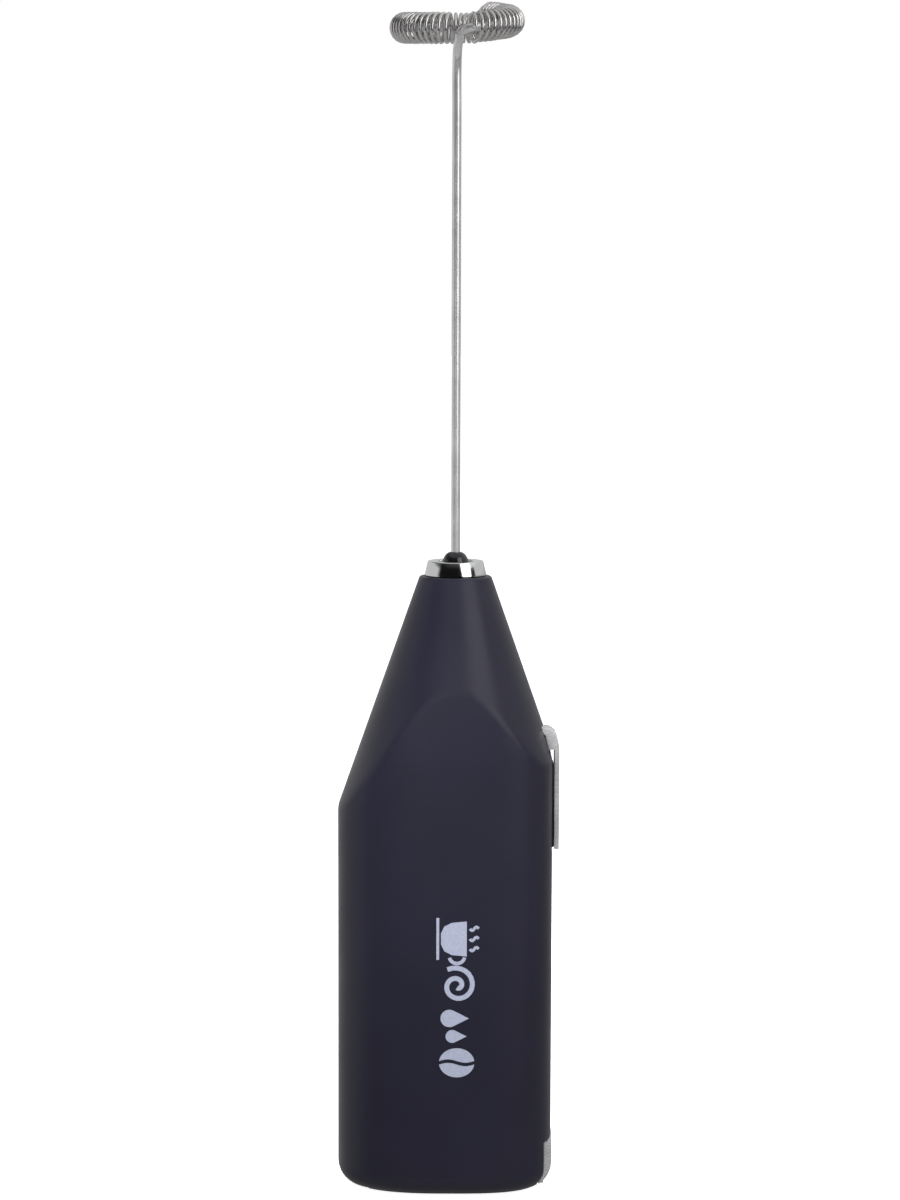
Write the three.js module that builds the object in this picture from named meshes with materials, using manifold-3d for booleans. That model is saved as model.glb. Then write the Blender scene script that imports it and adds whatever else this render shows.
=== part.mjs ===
// Hand-held battery milk frother: oval tapered case, side lever switch, coil-ring whisk on a long shaft.
// Millimetres, +Z up along the whisk's spin axis, origin where that axis meets the flat base,
// +X towards the switch lever, -Y towards the broad front face.
import * as THREE from "three";
import { mergeVertices } from "three/addons/utils/BufferGeometryUtils.js";
import Module from "manifold-3d";

const wasm = await Module();
wasm.setup();

// ---- Case ----
const CASE_HEIGHT = 108.8;
const CASE_HALF_WIDTH = 19;
const CASE_HALF_DEPTH = 13;
const CASE_CENTRE_X = -1.7; // the oval sits off the spin axis, away from the lever
const LEFT_EXPONENT = 2.5; // rounder end of the oval
const RIGHT_EXPONENT = 3.14; // squarer end, behind the lever
const OUTLINE_POINTS = 64;
const BASE_ROUND = 4; // radius of the soft lower edge
const BASE_ROUND_STEPS = 6;
const CONE_TOP_RADIUS = 6.3;
const CONE_SLOPE = 0.352;
const RIM = { chamfer: 0.5, shoulder: 0.15, ease: 0.1, inset: 0.4 };
const WALL = 1.8;
const CONE_WALL = 1.9;
const SEAM_GAP = 0.12;
const CAVITY_TOP = 103;
const NECK_BORE_RADIUS = 4.95;
const FIT_GAP = 0.3;

// ---- Neck ----
const COLLAR = { low: 108.95, top: 111.45, lowRadius: 5.44, topRadius: 4.9, lip: 3.15, lipLow: 110.6 };
const COLLAR_SLEEVE = { low: 104.6, outer: 4.75, inner: 4.1 };
const BUSH = { low: 104.6, top: 108.6, inner: 2.55, outer: 3.95 };
const SEAL = { low: 103.1, top: 104.3, inner: 2.5, outer: 4.7 };

// ---- Rotating line ----
const COUPLER = { low: 96.5, shoulder: 111.4, top: 113.03, radius: 2.35 };
const COUPLER_DOME = [
  [2.28, 111.55],
  [2.03, 111.95],
  [1.88, 112.3],
  [1.62, 112.65],
  [1.25, 112.9],
  [1, COUPLER.top],
];
const MOTOR_SHAFT = { low: 66.4, top: 103.4, radius: 1 };
const COUPLER_WEB = { low: 103.6, top: 104.4 };
const WIRE_RADIUS = 0.8;
const PRESS_GAP = 0.06;
const SHAFT_TOP = 197.6;
const RING_HEIGHT = 203.95;
const RING_RADIUS = 9;
const RING_TILT = THREE.MathUtils.degToRad(4.5);
const RING_LIFT = { height: 1.9, start: -80, peak: 48, end: 69, power: 0.9 };
const RING_STEP = 12; // degrees between the points that the ring is drawn through
const WIRE_END = 258; // place on the ring where the wire stops, inside the coil
const SPOKE_ANGLE = -84;
const SPOKE = [[0, 197], [0, 198.4], [0.9, 200.4], [3.6, 201.7], [7.3, 202.85]]; // reach and height
const RING_START = SPOKE_ANGLE + 9;
const COIL = { start: -74, end: 266, turns: 56, radius: 2.46, wire: 0.28, steps: 6, sides: 4 };

// ---- Motor ----
const CAN = { low: 66, top: 91, radius: 10.05, flat: 7.55, wall: 0.8 };
const CAN_NOSE = { radius: 3.07, top: 92.6, bore: 1.15 };
const END_CAP = { low: 64.4, top: 65.8, plugTop: 67.4 };
const MAGNET = { low: 69.5, top: 85, inner: 6.6, outer: 8.95, half: 6.5, side: 3 };
const ARMATURE = { low: 71, top: 84, radius: 6.2, slot: 1.6, core: 2.9 };
const COMMUTATOR = { low: 68, top: 70.4, radius: 2.3 };
const MOTOR_SLEEVE = { low: 68, top: 75, radius: 10.9 };
const TERMINAL = { x: 6, halfX: 0.25, halfY: 1.3, low: 62.2, top: 64.1 };

// ---- Batteries and contacts ----
const CELL = { radius: 7.25, body: 49.2, length: 50.5, nub: 2.75, round: 0.8 };
const CELL_X = { left: -9.3, right: 5.9 };
const LEFT_CELL_LOW = 5.6;
const RIGHT_CELL_LOW = 3;
const TRAY = { left: -13, right: 9.6, front: 7.6, rear: 8.8, low: 4.6, top: 55.8 };
const TRAY_RIB = { left: -2.6, right: -0.8, front: 4.7 };
const BULKHEAD = { low: 57.1, top: 59.1, hole: 2 };
const PLATE_RADIUS = 4;
const PLATE = { low: 56.4, top: 56.8 };
const TAB = { halfX: 0.25, halfY: 0.9, top: 60.5 };
const BRIDGE = { left: -13, right: 9.6, halfY: 3.5, low: 2.1, top: 2.5 };
const CONTACT_SPRING = { radius: 3, wire: 0.32, steps: 8, sides: 4 };

// ---- Battery door ----
const DOOR_THICKNESS = 1.8;
const DOOR_HINGE = { x: -16.8, z: 1.4, knuckle: 1.3, halfY: 3.6, pin: 0.6, pinHalf: 6.2, bore: 0.7 };
const DOOR_LEFT_CUT = DOOR_HINGE.x + 1.75;
const DOOR_RIGHT_CUT = { latch: 14.6, tongue: 12.5 };
const SILL = { right: DOOR_HINGE.x + 1.3, chamfer: 0.6, top: 2.8, notch: DOOR_HINGE.halfY + FIT_GAP };
const LATCH_AXIS = { x: 13.7, z: 0.95 };
const LATCH = { proud: 0.2, inset: 1.2, halfY: 7.6, low: 0.4, top: 8.7, footLeft: 15.1, foot: 1.5 };
const LATCH_TONGUE = { halfY: 3, radius: 0.85, right: 15.4 };
const LATCH_PIN = { radius: 0.5, half: 5.6, bore: 0.6 };
const LATCH_NOTCH = { inset: 1.45, halfY: 7.9, top: 8.95, footTop: 1.8, footLeft: 14.8 };
const LATCH_BLOCK = { left: 13.7, halfY: 9, low: 2.2, top: 11.2 };

// ---- Lever switch ----
const LEVER_AXIS = { x: 12.7, z: 79.7 };
const LEVER = { centreX: 18, low: 60.6, straight: 77.6, crown: 81.44, half: 0.41, halfY: 3.2, eye: 1.3 };
const LEVER_CURL = { end: 16.5, rise: 0.5 };
const LEVER_TAIL = 0.6; // half-width of the web over the eye
const LEVER_HEEL = [[15.8, 81.1], [17.7, 81.1], [17.7, 78.3], [16.55, 78.3]];
const LEVER_PIN = { radius: 0.75, half: 6.8, bore: 0.85 };
const LEVER_BOSS = { left: 11.4, right: 14.4, low: 78.2, top: 81.2, inner: 3.7, outer: 7.4 };
const LEVER_SLOT = { halfY: 3.6, low: 59.9, top: 76.1, left: 14.5 };
const LEVER_BAY = { left: 11.5, top: 82.4, floor: 80.75, ramp: 15.45, back: 16.35, foot: 78, low: 75.9 };
const PAD = { inner: 16.1, outer: 17.5, low: 60.9, top: 75.6, noseZ: 70, noseX: 14.4, nose: 0.9 };
const SWITCH_BASE = { left: 11.3, right: 14.9, halfY: 4.2, low: 59.4, top: 63 };
const CONTACT_STRIP = { x: 12.2, half: 0.15, halfY: 1.6, low: 59.9, top: 72.6 };
const LEAF_STRIP = { x: 14, half: 0.15, halfY: 1.8, low: 60.2, top: 73.6 };
const CONTACT_POINT = { z: 71.5, radius: 1, fixed: 0.45, moving: 0.3 };
const LEAD = { radius: 0.55, sides: 6, steps: 18 };
const NEGATIVE_ROUTE = [[6.8, 0, 60], [8.4, 2, 61], [8.2, 3, 62.4], [6.9, 0.6, 63.2]];
const POSITIVE_ROUTE = [
  [-9.3, -1.6, 60.1],
  [-7.5, -5, 61.2],
  [-1, -7.2, 61.6],
  [6, -6.6, 61.6],
  [9.4, -3.4, 61.2],
  [10.6, -1, 61],
];
const MOTOR_ROUTE = [
  [10.4, 3.4, 61],
  [8.5, 6.6, 61.5],
  [2, 7.4, 61.7],
  [-5, 6.4, 61.9],
  [-7.2, 2.6, 62.6],
  [-6.95, 0.6, 63.2],
];
const FAR = 2 * CASE_HALF_WIDTH; // beyond every side of the case

const material = (color, roughness, metalness) =>
  new THREE.MeshStandardMaterial({ color, roughness, metalness });
const FINISH = {
  softTouch: material(0x2f2e3a, 0.62, 0),
  chrome: material(0xd8dade, 0.08, 1),
  steel: material(0xb9bcc0, 0.3, 1),
  blackGloss: material(0x121216, 0.18, 0),
  blackMatte: material(0x1b1b1f, 0.7, 0),
  brass: material(0xc8a04a, 0.35, 1),
  copper: material(0xb06a3c, 0.35, 1),
  nylon: material(0xe6e3da, 0.5, 0),
  rubber: material(0x26262a, 0.85, 0),
  magnet: material(0x3a3a3e, 0.6, 0.2),
  cellWrap: material(0x2f6f4f, 0.35, 0),
  redWire: material(0xb02a24, 0.45, 0),
  blackWire: material(0x151518, 0.45, 0),
  blueWire: material(0x2c4f9c, 0.45, 0),
};

// ---- Solid helpers ----
const MERGE = 1e-4;

function toSolid(geometry) {
  const bare = geometry.index ? geometry.toNonIndexed() : geometry.clone();
  bare.deleteAttribute("normal");
  bare.deleteAttribute("uv");
  const merged = mergeVertices(bare, MERGE);
  const triangles = [];
  for (let i = 0; i < merged.index.count; i += 3) {
    const [a, b, c] = [0, 1, 2].map((k) => merged.index.getX(i + k));
    if (a !== b && b !== c && c !== a) triangles.push(a, b, c);
  }
  const build = (corners) =>
    new wasm.Manifold(
      new wasm.Mesh({
        numProp: 3,
        vertProperties: merged.attributes.position.array,
        triVerts: new Uint32Array(corners),
      }),
    );
  const solid = build(triangles);
  return solid.volume() < 0 ? build(triangles.reverse()) : solid;
}

function toMesh(name, solid, finish) {
  const { vertProperties, triVerts } = solid.getMesh();
  const shared = new THREE.BufferGeometry();
  shared.setAttribute("position", new THREE.BufferAttribute(new Float32Array(vertProperties), 3));
  shared.setIndex(new THREE.BufferAttribute(new Uint32Array(triVerts), 1));
  const geometry = shared.toNonIndexed();
  geometry.computeVertexNormals();
  const mesh = new THREE.Mesh(geometry, finish);
  mesh.name = name;
  return mesh;
}

const join = (...solids) => solids.reduce((sum, next) => sum.add(next));
const cut = (solid, ...tools) => tools.reduce((rest, tool) => rest.subtract(tool), solid);

function box(x0, x1, y0, y1, z0, z1) {
  const geometry = new THREE.BoxGeometry(x1 - x0, y1 - y0, z1 - z0);
  return toSolid(geometry.translate((x0 + x1) / 2, (y0 + y1) / 2, (z0 + z1) / 2));
}

function rodZ(x, y, radius, z0, z1, sides = 24) {
  const geometry = new THREE.CylinderGeometry(radius, radius, z1 - z0, sides);
  return toSolid(geometry.rotateX(Math.PI / 2).translate(x, y, (z0 + z1) / 2));
}

function rodY(x, z, radius, y0, y1, sides = 16) {
  const geometry = new THREE.CylinderGeometry(radius, radius, y1 - y0, sides);
  return toSolid(geometry.translate(x, (y0 + y1) / 2, z));
}

function rodX(y, z, radius, x0, x1, sides = 12) {
  const geometry = new THREE.CylinderGeometry(radius, radius, x1 - x0, sides);
  return toSolid(geometry.rotateZ(Math.PI / 2).translate((x0 + x1) / 2, y, z));
}

// A body of revolution about Z from [radius, height] pairs.
function turned(profile, sides = 32) {
  const points = profile.map(([radius, height]) => new THREE.Vector2(radius, height));
  return toSolid(new THREE.LatheGeometry(points, sides).rotateX(Math.PI / 2));
}

const ringZ = (inner, outer, z0, z1, sides = 32) =>
  turned([[inner, z0], [outer, z0], [outer, z1], [inner, z1], [inner, z0]], sides);

// A straight prism of an XY outline between two heights, with optional rounded edges.
function prism(shape, z0, z1, round = 0, steps = 3) {
  const geometry = new THREE.ExtrudeGeometry(shape, {
    depth: z1 - z0 - 2 * round,
    bevelEnabled: round > 0,
    bevelThickness: round,
    bevelSize: round,
    bevelOffset: -round,
    bevelSegments: steps,
  });
  return toSolid(geometry.translate(0, 0, z0 + round));
}

// A prism of an XZ outline that runs along Y, centred on the seam plane.
function sidePrism(points, halfY) {
  const shape = new THREE.Shape(points.map(([x, z]) => new THREE.Vector2(x, z)));
  const geometry = new THREE.ExtrudeGeometry(shape, { depth: 2 * halfY, bevelEnabled: false });
  return toSolid(geometry.rotateX(Math.PI / 2).translate(0, halfY, 0));
}

function tube(curve, radius, sides, steps) {
  const corners = [];
  for (let i = 0; i < sides; i++) {
    const angle = (2 * Math.PI * i) / sides;
    corners.push(new THREE.Vector2(radius * Math.cos(angle), radius * Math.sin(angle)));
  }
  return toSolid(new THREE.ExtrudeGeometry(new THREE.Shape(corners), { steps, extrudePath: curve }));
}

// ---- Shared outlines ----
const coneRadius = (z) => CONE_TOP_RADIUS + CONE_SLOPE * (CASE_HEIGHT - z);

// The case's oval: a superellipse that is squarer on the lever side, inset all round.
function ovalShape(inset) {
  const points = [];
  for (let i = 0; i < OUTLINE_POINTS; i++) {
    const angle = (2 * Math.PI * i) / OUTLINE_POINTS;
    const c = Math.cos(angle);
    const s = Math.sin(angle);
    const exponent = c < 0 ? LEFT_EXPONENT : RIGHT_EXPONENT;
    const across = Math.abs(c / (CASE_HALF_WIDTH - inset)) ** exponent;
    const along = Math.abs(s / (CASE_HALF_DEPTH - inset)) ** exponent;
    const reach = (across + along) ** (-1 / exponent);
    points.push(new THREE.Vector2(CASE_CENTRE_X + reach * c, reach * s));
  }
  return new THREE.Shape(points);
}

// The outline of a motor can: a circle with two flats.
function canSolid(radius, flat, z0, z1) {
  const reach = radius + 1;
  return rodZ(0, 0, radius, z0, z1, 32).intersect(box(-reach, reach, -flat, flat, z0, z1));
}

// ---- Case shells ----
function caseBody() {
  const cone = turned([
    [0, -1],
    [coneRadius(-1), -1],
    [coneRadius(CASE_HEIGHT - RIM.chamfer), CASE_HEIGHT - RIM.chamfer],
    [CONE_TOP_RADIUS - RIM.ease, CASE_HEIGHT - RIM.shoulder],
    [CONE_TOP_RADIUS - RIM.inset, CASE_HEIGHT],
    [0, CASE_HEIGHT],
  ], 64);
  return prism(ovalShape(0), 0, CASE_HEIGHT + 2 * BASE_ROUND, BASE_ROUND, BASE_ROUND_STEPS).intersect(cone);
}

function caseCavity() {
  const cone = turned([
    [0, -2],
    [coneRadius(-2) - CONE_WALL, -2],
    [coneRadius(CAVITY_TOP) - CONE_WALL, CAVITY_TOP],
    [0, CAVITY_TOP],
  ], 64);
  return prism(ovalShape(WALL), -1, CAVITY_TOP + 1).intersect(cone);
}

// Solid details moulded inside the shells: door sill, latch block and lever bosses.
function caseDetails() {
  const sillOutline = [
    [-FAR, 0],
    [SILL.right - SILL.chamfer, 0],
    [SILL.right, SILL.chamfer],
    [SILL.right, SILL.top],
    [-FAR, SILL.top],
  ];
  const sill = cut(
    sidePrism(sillOutline, CASE_HALF_DEPTH),
    box(-FAR, SILL.right + 1, -SILL.notch, SILL.notch, -1, SILL.top + 1),
  );
  const { left, halfY, low, top } = LATCH_BLOCK;
  const block = box(left, CASE_HALF_WIDTH, -halfY, halfY, low, top);
  const bosses = [-1, 1].map((side) => {
    const [y0, y1] = [side * LEVER_BOSS.inner, side * LEVER_BOSS.outer].sort((a, b) => a - b);
    return box(LEVER_BOSS.left, LEVER_BOSS.right, y0, y1, LEVER_BOSS.low, LEVER_BOSS.top);
  });
  return join(sill, block, ...bosses).intersect(caseBody());
}

function latchNotch() {
  const skin = cut(
    prism(ovalShape(-1), -1, LATCH_NOTCH.top),
    prism(ovalShape(LATCH_NOTCH.inset), -2, LATCH_NOTCH.top + 1),
  );
  const { halfY, top, footLeft, footTop } = LATCH_NOTCH;
  const window = box(CASE_CENTRE_X, FAR, -halfY, halfY, -1, top);
  const foot = box(footLeft, FAR, -halfY, halfY, -1, footTop);
  return join(skin.intersect(window), foot);
}

// The lever's bay: a window for the pad, a shallow bay above it, and the slot its tongue enters by.
function leverBay() {
  const { halfY, low, top, left } = LEVER_SLOT;
  const window = box(left, FAR, -halfY, halfY, low, top);
  const bay = sidePrism([
    [LEVER_BAY.back, LEVER_BAY.low],
    [FAR, LEVER_BAY.low],
    [FAR, LEVER_BAY.top],
    [LEVER_BAY.left, LEVER_BAY.top],
    [LEVER_BAY.left, LEVER_BAY.floor],
    [LEVER_BAY.ramp, LEVER_BAY.floor],
    [LEVER_BAY.back, LEVER_BAY.foot],
  ], halfY);
  return join(window, bay);
}

function caseShells() {
  const hingeReach = DOOR_HINGE.pinHalf + FIT_GAP;
  const leverReach = LEVER_PIN.half + FIT_GAP;
  const whole = cut(
    join(cut(caseBody(), caseCavity()), caseDetails()),
    rodZ(0, 0, NECK_BORE_RADIUS, CAVITY_TOP - 1, CASE_HEIGHT + 1, 32),
    latchNotch(),
    leverBay(),
    rodY(DOOR_HINGE.x, DOOR_HINGE.z, DOOR_HINGE.bore, -hingeReach, hingeReach),
    rodY(LEVER_AXIS.x, LEVER_AXIS.z, LEVER_PIN.bore, -leverReach, leverReach),
  );
  const front = box(-FAR, FAR, -FAR, -SEAM_GAP / 2, -1, CASE_HEIGHT + 1);
  const rear = box(-FAR, FAR, SEAM_GAP / 2, FAR, -1, CASE_HEIGHT + 1);
  return [
    toMesh("front_shell", whole.intersect(front), FINISH.softTouch),
    toMesh("rear_shell", whole.intersect(rear), FINISH.softTouch),
  ];
}

// ---- Neck ----
function neckParts() {
  const collar = turned([
    [COLLAR_SLEEVE.inner, COLLAR_SLEEVE.low],
    [COLLAR_SLEEVE.outer, COLLAR_SLEEVE.low],
    [COLLAR_SLEEVE.outer, COLLAR.low],
    [COLLAR.lowRadius, COLLAR.low],
    [COLLAR.topRadius, COLLAR.top],
    [COLLAR.lip, COLLAR.top],
    [COLLAR.lip, COLLAR.lipLow],
    [COLLAR_SLEEVE.inner, COLLAR.lipLow],
    [COLLAR_SLEEVE.inner, COLLAR_SLEEVE.low],
  ], 40);
  return [
    toMesh("neck_collar", collar, FINISH.chrome),
    toMesh("neck_bush", ringZ(BUSH.inner, BUSH.outer, BUSH.low, BUSH.top), FINISH.brass),
    toMesh("neck_seal", ringZ(SEAL.inner, SEAL.outer, SEAL.low, SEAL.top), FINISH.rubber),
  ];
}

// ---- Whisk ----
function smooth(t) {
  const held = THREE.MathUtils.clamp(t, 0, 1);
  return held * held * (3 - 2 * held);
}

// How far the ring stands above its plane: it climbs slowly on the right and drops at the coil's joint.
function ringLift(degrees) {
  const { height, start, peak, end, power } = RING_LIFT;
  if (degrees > peak) return height * (1 - smooth((degrees - peak) / (end - peak)));
  return height * Math.max(0, (degrees - start) / (peak - start)) ** power;
}

function ringPoint(degrees) {
  const angle = THREE.MathUtils.degToRad(degrees);
  const x = RING_RADIUS * Math.cos(angle);
  const y = RING_RADIUS * Math.sin(angle);
  return new THREE.Vector3(x, y, RING_HEIGHT + y * Math.tan(RING_TILT) + ringLift(degrees));
}

class CoilCurve extends THREE.Curve {
  getPoint(t, target = new THREE.Vector3()) {
    const degrees = THREE.MathUtils.lerp(COIL.start, COIL.end, t);
    const angle = THREE.MathUtils.degToRad(degrees);
    const phase = 2 * Math.PI * COIL.turns * t;
    const outward = COIL.radius * Math.cos(phase);
    const centre = ringPoint(degrees);
    return target.set(
      centre.x + outward * Math.cos(angle),
      centre.y + outward * Math.sin(angle),
      centre.z + COIL.radius * Math.sin(phase),
    );
  }
}

function whiskWire() {
  const spoke = THREE.MathUtils.degToRad(SPOKE_ANGLE);
  const onSpoke = ([reach, z]) => new THREE.Vector3(reach * Math.cos(spoke), reach * Math.sin(spoke), z);
  const points = SPOKE.map(onSpoke);
  for (let degrees = RING_START; degrees <= WIRE_END; degrees += RING_STEP) points.push(ringPoint(degrees));
  const bend = tube(new THREE.CatmullRomCurve3(points, false, "centripetal"), WIRE_RADIUS, 8, 56);
  const shaft = rodZ(0, 0, WIRE_RADIUS, COUPLER_WEB.top + PRESS_GAP, SHAFT_TOP, 12);
  return join(shaft, bend);
}

function rotatingParts() {
  const coupler = cut(
    turned([
      [0, COUPLER.low],
      [COUPLER.radius, COUPLER.low],
      [COUPLER.radius, COUPLER.shoulder],
      ...COUPLER_DOME,
      [0, COUPLER.top],
    ], 32),
    rodZ(0, 0, MOTOR_SHAFT.radius + PRESS_GAP, COUPLER.low - 1, COUPLER_WEB.low, 16),
    rodZ(0, 0, WIRE_RADIUS + PRESS_GAP, COUPLER_WEB.top, COUPLER.top + 1, 12),
  );
  const shaftBore = (z0, z1) => rodZ(0, 0, MOTOR_SHAFT.radius + PRESS_GAP, z0 - 1, z1 + 1, 16);
  const poles = [0, 1, 2].map((i) => {
    const slot = new THREE.BoxGeometry(ARMATURE.radius, ARMATURE.slot, ARMATURE.top - ARMATURE.low + 2);
    slot.translate(ARMATURE.core + ARMATURE.radius / 2, 0, (ARMATURE.low + ARMATURE.top) / 2);
    return toSolid(slot.rotateZ((2 * Math.PI * i) / 3));
  });
  const armature = cut(
    rodZ(0, 0, ARMATURE.radius, ARMATURE.low, ARMATURE.top),
    ...poles,
    shaftBore(ARMATURE.low, ARMATURE.top),
  );
  const commutator = cut(
    rodZ(0, 0, COMMUTATOR.radius, COMMUTATOR.low, COMMUTATOR.top),
    shaftBore(COMMUTATOR.low, COMMUTATOR.top),
  );
  const shaft = rodZ(0, 0, MOTOR_SHAFT.radius, MOTOR_SHAFT.low, MOTOR_SHAFT.top, 16);
  const coil = tube(new CoilCurve(), COIL.wire, COIL.sides, COIL.turns * COIL.steps);
  return [
    toMesh("whisk_wire", whiskWire(), FINISH.chrome),
    toMesh("whisk_coil", coil, FINISH.chrome),
    toMesh("whisk_coupler", coupler, FINISH.blackGloss),
    toMesh("motor_shaft", shaft, FINISH.steel),
    toMesh("motor_armature", armature, FINISH.copper),
    toMesh("commutator", commutator, FINISH.brass),
  ];
}

// ---- Motor ----
function motorParts() {
  const nose = rodZ(0, 0, CAN_NOSE.radius, CAN.top - CAN.wall, CAN_NOSE.top);
  const can = cut(
    join(canSolid(CAN.radius, CAN.flat, CAN.low, CAN.top), nose),
    canSolid(CAN.radius - CAN.wall, CAN.flat - CAN.wall, CAN.low - 1, CAN.top - CAN.wall),
    rodZ(0, 0, CAN_NOSE.bore, CAN.top - 2, CAN_NOSE.top + 1, 16),
  );
  const plug = CAN.wall + FIT_GAP;
  const endCap = cut(
    join(
      canSolid(CAN.radius, CAN.flat, END_CAP.low, END_CAP.top),
      canSolid(CAN.radius - plug, CAN.flat - plug, END_CAP.low, END_CAP.plugTop),
    ),
    rodZ(0, 0, CAN_NOSE.bore, MOTOR_SHAFT.low - FIT_GAP, END_CAP.plugTop + 1, 16),
  );
  const magnetRing = ringZ(MAGNET.inner, MAGNET.outer, MAGNET.low, MAGNET.top, 40);
  const { half, low, top } = MAGNET;
  const magnet = (x0, x1) => magnetRing.intersect(box(x0, x1, -half, half, low, top));
  const sleeve = cut(
    rodZ(0, 0, MOTOR_SLEEVE.radius, MOTOR_SLEEVE.low, MOTOR_SLEEVE.top, 32),
    canSolid(CAN.radius + FIT_GAP, CAN.flat + FIT_GAP, MOTOR_SLEEVE.low - 1, MOTOR_SLEEVE.top + 1),
  );
  const terminal = (x) =>
    box(x - TERMINAL.halfX, x + TERMINAL.halfX, -TERMINAL.halfY, TERMINAL.halfY, TERMINAL.low, TERMINAL.top);
  return [
    toMesh("motor_can", can, FINISH.steel),
    toMesh("motor_end_cap", endCap, FINISH.nylon),
    toMesh("motor_magnet_left", magnet(-MAGNET.outer - 1, -MAGNET.side), FINISH.magnet),
    toMesh("motor_magnet_right", magnet(MAGNET.side, MAGNET.outer + 1), FINISH.magnet),
    toMesh("motor_sleeve", sleeve, FINISH.rubber),
    toMesh("motor_terminal_left", terminal(-TERMINAL.x), FINISH.brass),
    toMesh("motor_terminal_right", terminal(TERMINAL.x), FINISH.brass),
  ];
}

// ---- Batteries and their contacts ----
// A round cell about Z with its nub up, or down when it is turned over.
function cell(x, low, nubUp) {
  const { radius, body, length, nub, round } = CELL;
  const upright = [
    [0, 0],
    [radius - round, 0],
    [radius, round],
    [radius, body - round],
    [radius - round, body],
    [nub, body],
    [nub, length],
    [0, length],
  ];
  const profile = upright.map(([r, z]) => [r, nubUp ? low + z : low + length - z]);
  return turned(profile, 28).translate([x, 0, 0]);
}

class SpringCurve extends THREE.Curve {
  constructor(x, low, top, turns) {
    super();
    Object.assign(this, { x, low, top, turns });
  }

  getPoint(t, target = new THREE.Vector3()) {
    const angle = 2 * Math.PI * this.turns * t;
    const radius = CONTACT_SPRING.radius;
    const z = THREE.MathUtils.lerp(this.low, this.top, t);
    return target.set(this.x + radius * Math.cos(angle), radius * Math.sin(angle), z);
  }
}

function contactSpring(x, low, top, turns) {
  const { wire, sides, steps } = CONTACT_SPRING;
  return tube(new SpringCurve(x, low + wire, top - wire, turns), wire, sides, Math.round(turns * steps));
}

function contactPlate(x) {
  return join(
    rodZ(x, 0, PLATE_RADIUS, PLATE.low, PLATE.top, 20),
    box(x - TAB.halfX, x + TAB.halfX, -TAB.halfY, TAB.halfY, PLATE.low, TAB.top),
  );
}

function batteryParts() {
  const tray = join(
    box(TRAY.left, TRAY.right, TRAY.front, TRAY.rear, TRAY.low, TRAY.top),
    box(TRAY_RIB.left, TRAY_RIB.right, TRAY_RIB.front, TRAY.rear, TRAY.low, TRAY.top),
  );
  const bulkhead = cut(
    prism(ovalShape(WALL + FIT_GAP), BULKHEAD.low, BULKHEAD.top),
    rodZ(CELL_X.left, 0, BULKHEAD.hole, BULKHEAD.low - 1, BULKHEAD.top + 1, 16),
    rodZ(CELL_X.right, 0, BULKHEAD.hole, BULKHEAD.low - 1, BULKHEAD.top + 1, 16),
  );
  const springTop = PLATE.low - FIT_GAP;
  const springLow = RIGHT_CELL_LOW + CELL.length + FIT_GAP;
  return [
    toMesh("battery_1", cell(CELL_X.left, LEFT_CELL_LOW, true), FINISH.cellWrap),
    toMesh("battery_2", cell(CELL_X.right, RIGHT_CELL_LOW, false), FINISH.cellWrap),
    toMesh("battery_tray", tray, FINISH.blackMatte),
    toMesh("contact_bulkhead", bulkhead, FINISH.blackMatte),
    toMesh("positive_contact", contactPlate(CELL_X.left), FINISH.steel),
    toMesh("negative_contact", contactPlate(CELL_X.right), FINISH.steel),
    toMesh("negative_spring", contactSpring(CELL_X.right, springLow, springTop, 2.5), FINISH.steel),
  ];
}

// ---- Battery door with its bridge contact and latch ----
function doorParts() {
  const { x, z, knuckle, halfY, pin, pinHalf, bore } = DOOR_HINGE;
  const tongueReach = LATCH_TONGUE.halfY + FIT_GAP;
  const latchReach = LATCH_PIN.half + FIT_GAP;
  const plate = cut(
    prism(ovalShape(WALL + FIT_GAP), 0, DOOR_THICKNESS),
    box(-FAR, DOOR_LEFT_CUT, halfY, FAR, -1, DOOR_THICKNESS + 1),
    box(-FAR, DOOR_LEFT_CUT, -FAR, -halfY, -1, DOOR_THICKNESS + 1),
    box(-FAR, x, -FAR, FAR, -1, DOOR_THICKNESS + 1),
    box(DOOR_RIGHT_CUT.latch, FAR, -LATCH_NOTCH.halfY, LATCH_NOTCH.halfY, -1, DOOR_THICKNESS + 1),
    box(DOOR_RIGHT_CUT.tongue, FAR, -tongueReach, tongueReach, -1, DOOR_THICKNESS + 1),
  );
  const base = prism(ovalShape(0), 0, CASE_HEIGHT, BASE_ROUND, BASE_ROUND_STEPS);
  const door = cut(
    join(plate.intersect(base), rodY(x, z, knuckle, -halfY, halfY, 20)),
    rodY(x, z, bore, -FAR, FAR),
    rodY(LATCH_AXIS.x, LATCH_AXIS.z, LATCH_PIN.bore, -latchReach, latchReach),
  );
  const bridge = box(BRIDGE.left, BRIDGE.right, -BRIDGE.halfY, BRIDGE.halfY, BRIDGE.low, BRIDGE.top);
  const springTop = LEFT_CELL_LOW - FIT_GAP;
  return [
    toMesh("battery_door", door, FINISH.softTouch),
    toMesh("door_hinge_pin", rodY(x, z, pin, -pinHalf, pinHalf), FINISH.steel),
    toMesh("bridge_contact", bridge, FINISH.steel),
    toMesh("bridge_spring", contactSpring(CELL_X.left, BRIDGE.top + FIT_GAP, springTop, 2.5), FINISH.steel),
  ];
}

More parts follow.
